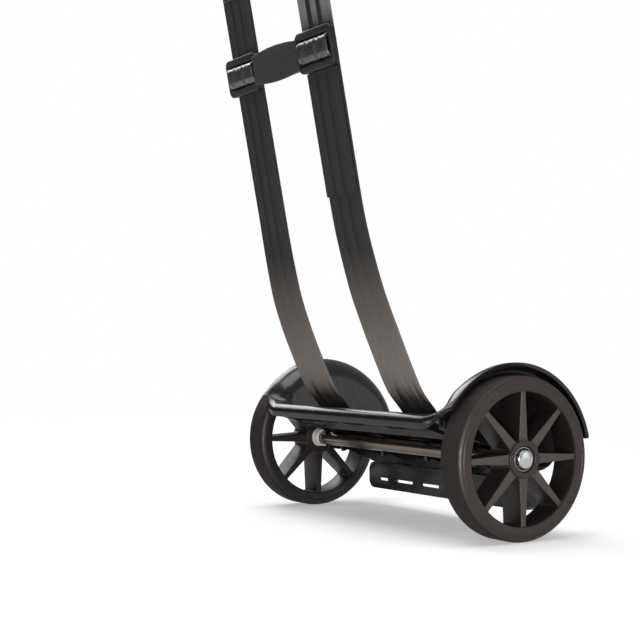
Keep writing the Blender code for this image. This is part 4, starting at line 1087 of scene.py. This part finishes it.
def strap_path():
    """The strap's middle surface: from its hem under the deck, up the slot, to its top end."""
    lift = STRAP_THICKNESS / 2 + GAP - LANE_DEPTH
    drop = WALL + STRAP_THICKNESS / 2 + 3 * GAP
    along = Vector((math.cos(DECK_ANGLE), -math.sin(DECK_ANGLE)))
    mouth = Vector((SLOT_PLACE, deck_top(SLOT_PLACE)))
    bend = STRAP_BEND
    top_centre = mouth + DECK_NORMAL * (lift - bend) - along * bend
    low_centre = mouth - DECK_NORMAL * (drop - bend) - along * bend
    turn = math.atan2(along.y, along.x)
    half = math.pi / 2
    foot = low_centre - DECK_NORMAL * bend - along * STRAP_STOP
    path = [foot.lerp(low_centre - DECK_NORMAL * bend, share / 8) for share in range(8)]
    path += [Vector(p) for p in arc(low_centre, bend, turn - half, turn, 8)]
    path += [Vector(p) for p in arc(top_centre, bend, turn, turn + half, 8)]
    on_deck = []
    for x, clear in ((0.018, 0), (0.007, 0), (-0.001, 0.0003), (-0.010, 0.0015)):
        on_deck.append(Vector((x, deck_top(x))) + DECK_NORMAL * (lift + clear))
    rising = [Vector(point) for point in (
        (-0.0225, 0.0255), (-0.0330, 0.0370), (-0.0446, 0.0512), (-0.0571, 0.0762), (-0.0684, 0.1016),
        (-0.0781, 0.1270), (-0.0852, 0.1524), (-0.0912, 0.1778))]
    start = strap_line(STRAP_STRAIGHT_FROM)
    following = strap_line(STRAP_STRAIGHT_FROM + 4 * PATH_STEP)
    path += through([path[-1]] + on_deck + rising + [start, following], PATH_STEP)[1:]
    last = path[-1]
    top = strap_line(STRAP_TOP)
    count = round((top - last).length / PATH_STEP)
    path += [last.lerp(top, step / count) for step in range(1, count + 1)]
    return path


def webbing_section(width, thickness):
    """A closed section of webbing: (across, up) points, rounded selvedges and two broad grooves a face."""
    edge = thickness * 0.42
    half = width / 2
    face = []
    steps = 60
    for step in range(steps + 1):
        share = step / steps
        a = -half + edge + (width - 2 * edge) * share
        sunk = max(eased(2.2 - abs(share - groove) / 0.035) for groove in STRAP_GROOVES)
        crown = 0.25 * math.cos(math.pi * 6 * share) * STRAP_GROOVE_DEPTH
        face.append((a, thickness / 2 - STRAP_GROOVE_DEPTH * (0.3 + sunk) + crown))
    right = arc((half - edge, 0.0), edge, math.radians(60), math.radians(-60), 4)
    left = arc((edge - half, 0.0), edge, math.radians(240), math.radians(120), 4)
    return face + right + [(a, -b) for a, b in reversed(face)] + left


def webbing(name, path, width, section, y_place, scale_at=None):
    """A strip of webbing swept along an XZ path, with its weave's UV map in metres."""
    bm = bmesh.new()
    weave = bm.loops.layers.uv.new("weave")
    distances = [0.0]
    for first, second in zip(path, path[1:]):
        distances.append(distances[-1] + (second - first).length)
    rings = []
    flat = {}
    for index, point in enumerate(path):
        before = path[max(index - 1, 0)]
        after = path[min(index + 1, len(path) - 1)]
        direction = (after - before).normalized()
        normal = Vector((-direction.y, direction.x))
        thin = 1.0 if scale_at is None else scale_at(distances[index], distances[-1])
        ring = []
        for a, b in section:
            spot = point + normal * b * thin
            corner = bm.verts.new((spot.x, y_place + a, spot.y))
            flat[corner] = (a + width / 2, distances[index])
            ring.append(corner)
        rings.append(ring)
    for face in skin(bm, rings):
        for loop in face.loops:
            loop[weave].uv = flat[loop.vert]
    return mesh_from(bm, name), distances[-1]


def add_hem(name, start, toward, length, steps, y_place):
    """A flap of webbing folded back against the strap, from its fold at start."""
    path = [start + toward * (length * step / steps) for step in range(steps + 1)]
    section = webbing_section(STRAP_WIDTH, STRAP_THICKNESS)
    mesh = webbing(name, path, STRAP_WIDTH, section, y_place)[0]
    return add_piece(name, smooth(on_strap(mesh), 50), STRAP_WEBBING, "chassis")


def build_strap(side, name):
    """One strap with its hems: the webbing folds back on itself at both ends, and the top is sewn down."""
    path = strap_path()
    section = webbing_section(STRAP_WIDTH, STRAP_THICKNESS)
    y_place = side * STRAP_SPACING / 2
    mesh, length = webbing(f"{name}_strap_webbing", path, STRAP_WIDTH, section, y_place)
    strap = add_piece(
        f"{name}_strap_webbing", smooth(on_strap(mesh), 50), STRAP_WEBBING, "chassis",
        [f"{name}_strap"])
    top, foot = path[-1], path[0]
    down = (path[-2] - top).normalized()
    behind = Vector((down.y, -down.x)) if down.y > 0 else Vector((-down.y, down.x))
    toward = (path[1] - foot).normalized()
    pieces = [
        add_hem(f"{name}_top_hem", top + behind * STRAP_THICKNESS, down, HEM_LENGTH, 12, y_place),
        add_hem(
            f"{name}_foot_hem", foot - DECK_NORMAL * STRAP_THICKNESS, toward, FOOT_HEM_LENGTH, 6, y_place),
        sew_hem(side, name, top, down, behind)]


def stitch(bm, start, end, lift):
    """One stitch: a short thread that dips into the cloth at both ends."""
    sides = 6
    radius = STITCH_RADIUS
    rings = []
    span = end - start
    along = span.normalized()
    second = along.cross(lift).normalized()
    for step in range(7):
        share = step / 6
        rise = math.sin(math.pi * share) ** 0.5 * radius * 1.2 - radius * 0.4
        centre = start + span * share + lift * rise
        ring = []
        for corner in range(sides):
            angle = 2 * math.pi * corner / sides
            spot = centre + lift * math.cos(angle) * radius
            ring.append(bm.verts.new(spot + second * math.sin(angle) * radius))
        rings.append(ring)
    skin(bm, rings)


def stitch_row(bm, start, end, lift):
    """A row of stitches from start to end."""
    span = end - start
    count = max(1, round(span.length / STITCH_PITCH))
    for index in range(count):
        first = start + span * ((index + 0.12) / count)
        last = start + span * ((index + 0.88) / count)
        stitch(bm, first, last, lift)


def sew_hem(side, name, top, down, behind):
    """A sewn box with a cross in it, on both faces of the top hem."""
    bm = bmesh.new()
    y_place = side * STRAP_SPACING / 2
    half = STRAP_WIDTH / 2 - STITCH_SIDE_INSET
    low, high = STITCH_INSET, HEM_LENGTH - STITCH_INSET
    for face, offset in ((-1, STRAP_THICKNESS / 2), (1, STRAP_THICKNESS * 1.5)):
        lift = behind * face
        lift_3d = Vector((lift.x, 0, lift.y))
        corners = []
        for run, y in ((low, -half), (low, half), (high, half), (high, -half)):
            spot = top + down * run + lift * offset
            corners.append(Vector((spot.x, y_place + y, spot.y)))
        for first, second in ((0, 1), (1, 2), (2, 3), (3, 0), (0, 2), (1, 3)):
            stitch_row(bm, corners[first], corners[second], lift_3d)
    mesh = on_strap(mesh_from(bm, f"{name}_hem_stitches"))
    return add_piece(f"{name}_hem_stitches", smooth(mesh, 60), THREAD, "chassis")


# Sliders. In their own frame Z runs up the strap, Y across it, and -X points away from it.


def on_guide(mesh):
    """Move a mesh from the sliders' frame to its place on the straps."""
    place = strap_line(SLIDER_HEIGHT_ON_STRAP)
    upright = Matrix.Translation((place.x, 0, place.y)) @ Matrix.Rotation(-STRAP_LEAN, 4, "Y")
    mesh.transform(Matrix.Translation(AXLE) @ strap_turn(1.0) @ upright)
    return mesh


def build_slider(side, name):
    """A three-bar slider: a rounded outer frame with a round bar across its window."""
    width = STRAP_WIDTH + 2 * SLIDER_SIDE
    back = -(STRAP_THICKNESS / 2 + GAP)
    x_place = back - SLIDER_THICKNESS / 2
    y_place = side * STRAP_SPACING / 2
    outer = rounded_rectangle(width, SLIDER_LENGTH, SLIDER_CORNER, 10)
    window = rounded_rectangle(STRAP_WIDTH, SLIDER_WINDOW, SLIDER_WINDOW_CORNER, 5)
    outline = plate("frame", [outer, window], SLIDER_THICKNESS, IN_YZ, (x_place, y_place, 0), SLIDER_EDGE)
    reach = STRAP_WIDTH / 2 + BAR_ROOT
    bar = turned(
        "bar", [(0.0, reach), (BAR_RADIUS, reach), (BAR_RADIUS, -reach), (0.0, -reach)],
        Matrix.Translation((x_place + BAR_BACK, y_place, 0)) @ Matrix.Rotation(math.pi / 2, 4, "X"), 24,
        closed=False)
    size = (2 * (BAND_END_THICKNESS + 2 * GAP), SLIDER_SIDE + 2 * GAP, BAND_END_WIDTH + 2 * GAP)
    edge = side * (STRAP_SPACING / 2 - STRAP_WIDTH / 2 - SLIDER_SIDE / 2)
    corner = rounded_rectangle(size[1], size[2], BAND_END_ROUND, 2, (edge, 0.0))
    recess = plate("recess", [corner], size[0], IN_YZ, (back, 0, 0))
    mesh = combined(f"{name}_slider_frame", outline, [("UNION", bar), ("DIFFERENCE", recess)])
    add_piece(
        f"{name}_slider_frame", smooth(on_guide(mesh)), SLIDER_ACETAL, "slider_body",
        [f"{name}_slider"])
    build_loop(side, name, x_place + BAR_BACK)


def build_loop(side, name, bar_x):
    """The webbing that comes up through the slider's window, over its bar and down again."""
    proud = BAR_RADIUS + GAP + LOOP_THICKNESS / 2 + LOOP_BULGE
    back = -(STRAP_THICKNESS / 2 + 2 * GAP) - LOOP_THICKNESS / 2
    reach = SLIDER_WINDOW / 2 - LOOP_THICKNESS / 2 - GAP / 2
    front = bar_x - proud
    path = []
    for step in range(25):
        angle = math.pi / 2 * step / 24
        height = -reach + LOOP_RISE * reach * (1 - math.cos(angle))
        path.append(Vector((back + (front - back) * math.sin(angle), height)))
    bend = (front + LOOP_BEND, reach - LOOP_BEND)
    path += [Vector(point) for point in arc(bend, LOOP_BEND, math.pi, math.pi / 2, 8)]
    path.append(Vector((back, reach)))
    section = webbing_section(STRAP_WIDTH - 2 * GAP, LOOP_THICKNESS)
    mesh, length = webbing(f"{name}_loop_webbing", path, STRAP_WIDTH, section, side * STRAP_SPACING / 2)
    # Shallow puckers across the loop's lower part, which fade out before its top bend
    for corner in mesh.vertices:
        depth = min(1.0, max(0.0, (back - corner.co.x) / (back - front)))
        turns = corner.co.y / PUCKER_PITCH
        wave = math.sin(turns * 2 * math.pi) + math.sin(turns * 3.7 + 1.0)
        low = eased((0.75 - corner.co.z / reach) / 0.6)
        corner.co.x += PUCKER_DEPTH * depth * (wave / 2 + 0.5) * low
    loop = add_piece(
        f"{name}_loop_webbing", smooth(on_guide(mesh), 50), LOOP_WEBBING, "slider_body",
        [f"{name}_webbing_loop"])


def build_band():
    """The moulded band between the sliders: barrel shaped, each end closed round a slider's side bar."""
    inner_edge = STRAP_SPACING / 2 - STRAP_WIDTH / 2
    post = inner_edge - SLIDER_SIDE - 2 * GAP
    end = inner_edge - GAP
    back = -(STRAP_THICKNESS / 2 + 2 * GAP)
    bar_front = back + GAP - SLIDER_THICKNESS - GAP
    front = bar_front - BAND_FLAP
    full = back - front
    bm = bmesh.new()
    rings = []
    steps = 64
    for step in range(steps + 1):
        y = -end + 2 * end * step / steps
        swell = math.cos(math.pi / 2 * min(1.0, abs(y) / post)) ** 0.8
        width = BAND_END_WIDTH + (BAND_MIDDLE_WIDTH - BAND_END_WIDTH) * swell
        grown = eased((abs(y) - 0.55 * post) / (0.45 * post))
        sunk = BAND_END_ROUND * (1 - min(1.0, (end - abs(y)) / BAND_EDGE))
        thickness = BAND_THICKNESS + (full - BAND_THICKNESS) * grown - sunk
        middle = front + sunk + thickness / 2
        corners = rounded_rectangle(thickness, 2 * (width / 2 - sunk), BAND_EDGE, 4, (middle, 0.0))
        rings.append([bm.verts.new((x, y, z)) for x, z in corners])
    skin(bm, rings)
    mesh = mesh_from(bm, "band")
    slots = []
    slot_back = back - BAND_END_THICKNESS - GAP
    for side in (-1, 1):
        reach = SLIDER_SIDE + 3 * GAP
        centre = side * (inner_edge - SLIDER_SIDE - GAP + reach / 2)
        edge = rectangle(centre - reach / 2, centre + reach / 2, -BAND_CUT_REACH, BAND_CUT_REACH)
        place = ((slot_back + bar_front) / 2, 0, 0)
        slots.append(plate("slot", [edge], slot_back - bar_front, IN_YZ, place))
    mesh = combined("link_band_moulding", mesh, [("DIFFERENCE", joined("slots", slots))])
    smooth(on_guide(mesh))
    add_piece("link_band_moulding", mesh, BAND_RUBBER, "slider_body", ["link_band"])


def build_tail():
    """The near strap's free end, lying on the strap below its slider, its cut end sealed by heat."""
    back = -(STRAP_THICKNESS / 2 + GAP) - TAIL_THICKNESS / 2
    start = -SLIDER_LENGTH / 2 - GAP
    path = [Vector((back, start - TAIL_LENGTH * step / 48)) for step in range(49)]
    section = webbing_section(STRAP_WIDTH - 4 * GAP, TAIL_THICKNESS)

    def sealed(distance, whole):
        return 0.72 + 0.28 * min(1.0, (whole - distance) / TAIL_SEAL)

    mesh, length = webbing(
        "near_tail_webbing", path, STRAP_WIDTH, section, -STRAP_SPACING / 2, sealed)
    tail = add_piece(
        "near_tail_webbing", smooth(on_guide(mesh), 50), STRAP_WEBBING, "slider_body",
        ["near_strap_tail"])


build_cradle()
build_axle()
for side, name in ((-1, "near"), (1, "far")):
    build_wheel(side, name)
    build_axle_end(side, name)
    build_strap(side, name)
    build_slider(side, name)
build_band()
build_tail()


# Floor, light and camera


def build_floor():
    """A pale floor that turns to plain white away from the object, and keeps its shadow."""
    bm = bmesh.new()
    bmesh.ops.create_circle(bm, cap_ends=True, segments=96, radius=FLOOR_RADIUS)
    mesh = mesh_from(bm, "floor")
    placed("floor", mesh)
    paint = bpy.data.materials.new("pale_studio_floor")
    paint.use_nodes = True
    tree = paint.node_tree
    tree.nodes.clear()
    where = add_node(tree, "TexCoord")["Object"]
    distance = add_node(tree, "VectorMath", [where], operation="LENGTH")["Value"]
    far = add_node(tree, "MapRange", [distance, FLOOR_FADE_FROM, FLOOR_FADE_TO, 0.0, 1.0])[0]
    ray = add_node(tree, "LightPath")
    camera_ray, glossy_ray = ray["Is Camera Ray"], ray["Is Glossy Ray"]
    pale = add_node(
        tree, "Mix", {0: glossy_ray, 6: from_hex("#e6e4e2"), 7: from_hex("#a09e9c")}, data_type="RGBA")[2]
    seen, near_seen = [
        add_node(tree, "Math", [
            camera_ray, add_node(tree, "Math", [glossy_ray, share], operation="MULTIPLY")[0]],
            operation="MAXIMUM")[0]
        for share in (FLOOR_REFLECTED_FAR, FLOOR_REFLECTED_NEAR)]
    lift = add_node(tree, "Math", [near_seen, FLOOR_LIFT], operation="MULTIPLY")[0]
    glow = add_node(tree, "Emission", {"Color": from_hex("#ffffff"), "Strength": lift})[0]
    near = add_node(tree, "AddShader", [add_node(tree, "BsdfDiffuse", {"Color": pale})[0], glow])[0]
    white = add_node(tree, "Emission", {"Color": from_hex("#ffffff"), "Strength": 1.0})[0]
    both = add_node(tree, "Math", [far, seen], operation="MULTIPLY")[0]
    mixed = add_node(tree, "MixShader", [both, near, white])[0]
    add_node(tree, "OutputMaterial", {"Surface": mixed})
    mesh.materials.append(paint)


def build_world():
    """White surroundings for the camera; dim ones for the object, brightest overhead and at the right."""
    world = bpy.data.worlds.new("studio")
    bpy.context.scene.world = world
    world.use_nodes = True
    tree = world.node_tree
    tree.nodes.clear()
    direction = add_node(tree, "TexCoord")["Generated"]
    toward = add_node(tree, "VectorMath", [direction, WORLD_BRIGHT_SIDE], operation="DOT_PRODUCT")["Value"]
    dim = add_node(tree, "MapRange", [toward, *WORLD_RAMP, WORLD_DIM, WORLD_BRIGHT])[0]
    seen = add_node(tree, "LightPath")["Is Camera Ray"]
    strength = add_node(tree, "Math", [dim, seen], operation="MAXIMUM")[0]
    sky = add_node(tree, "Background", {"Color": from_hex("#ffffff"), "Strength": strength})[0]
    add_node(tree, "OutputWorld", {"Surface": sky})


def add_lamp(name, place, size, power, target=(0.0, 0.0, 0.10)):
    """A square softbox that faces the object."""
    lamp = bpy.data.lights.new(name, "AREA")
    lamp.shape = "SQUARE"
    lamp.size = size
    lamp.energy = power
    made = placed(name, lamp)
    made.location = place
    made.rotation_euler = (Vector(target) - Vector(place)).to_track_quat("-Z", "Y").to_euler()


def build_camera():
    """The photograph's viewpoint, found from the wheels' outlines in it."""
    camera = bpy.data.cameras.new("camera")
    camera.lens = CAMERA_LENS
    camera.sensor_width = 36.0
    made = placed("camera", camera)
    made.location = CAMERA_PLACE
    level = math.cos(CAMERA_PITCH)
    forward = Vector((CAMERA_HEADING[0] * level, CAMERA_HEADING[1] * level, math.sin(CAMERA_PITCH)))
    made.rotation_mode = "QUATERNION"
    made.rotation_quaternion = forward.to_track_quat("-Z", "Y")
    bpy.context.scene.camera = made


build_floor()
build_world()
add_lamp("overhead_softbox", (-0.3, 0.1, 2.1), 1.6, 24.0)
add_lamp("back_softbox", (0.05, 2.3, 1.7), 1.5, 28.0)
add_lamp("right_softbox", (1.1, -1.75, 0.35), 0.9, 2.2)
add_lamp("low_left_softbox", (-1.4, 0.3, 0.12), 0.5, 2.0, (0.0, 0.0, 0.05))
add_lamp("floor_card", (-0.44, -0.60, 0.03), 0.30, 5.5, (0.0, 0.0, 0.06))
build_camera()
bpy.context.scene.view_settings.view_transform = "Standard"
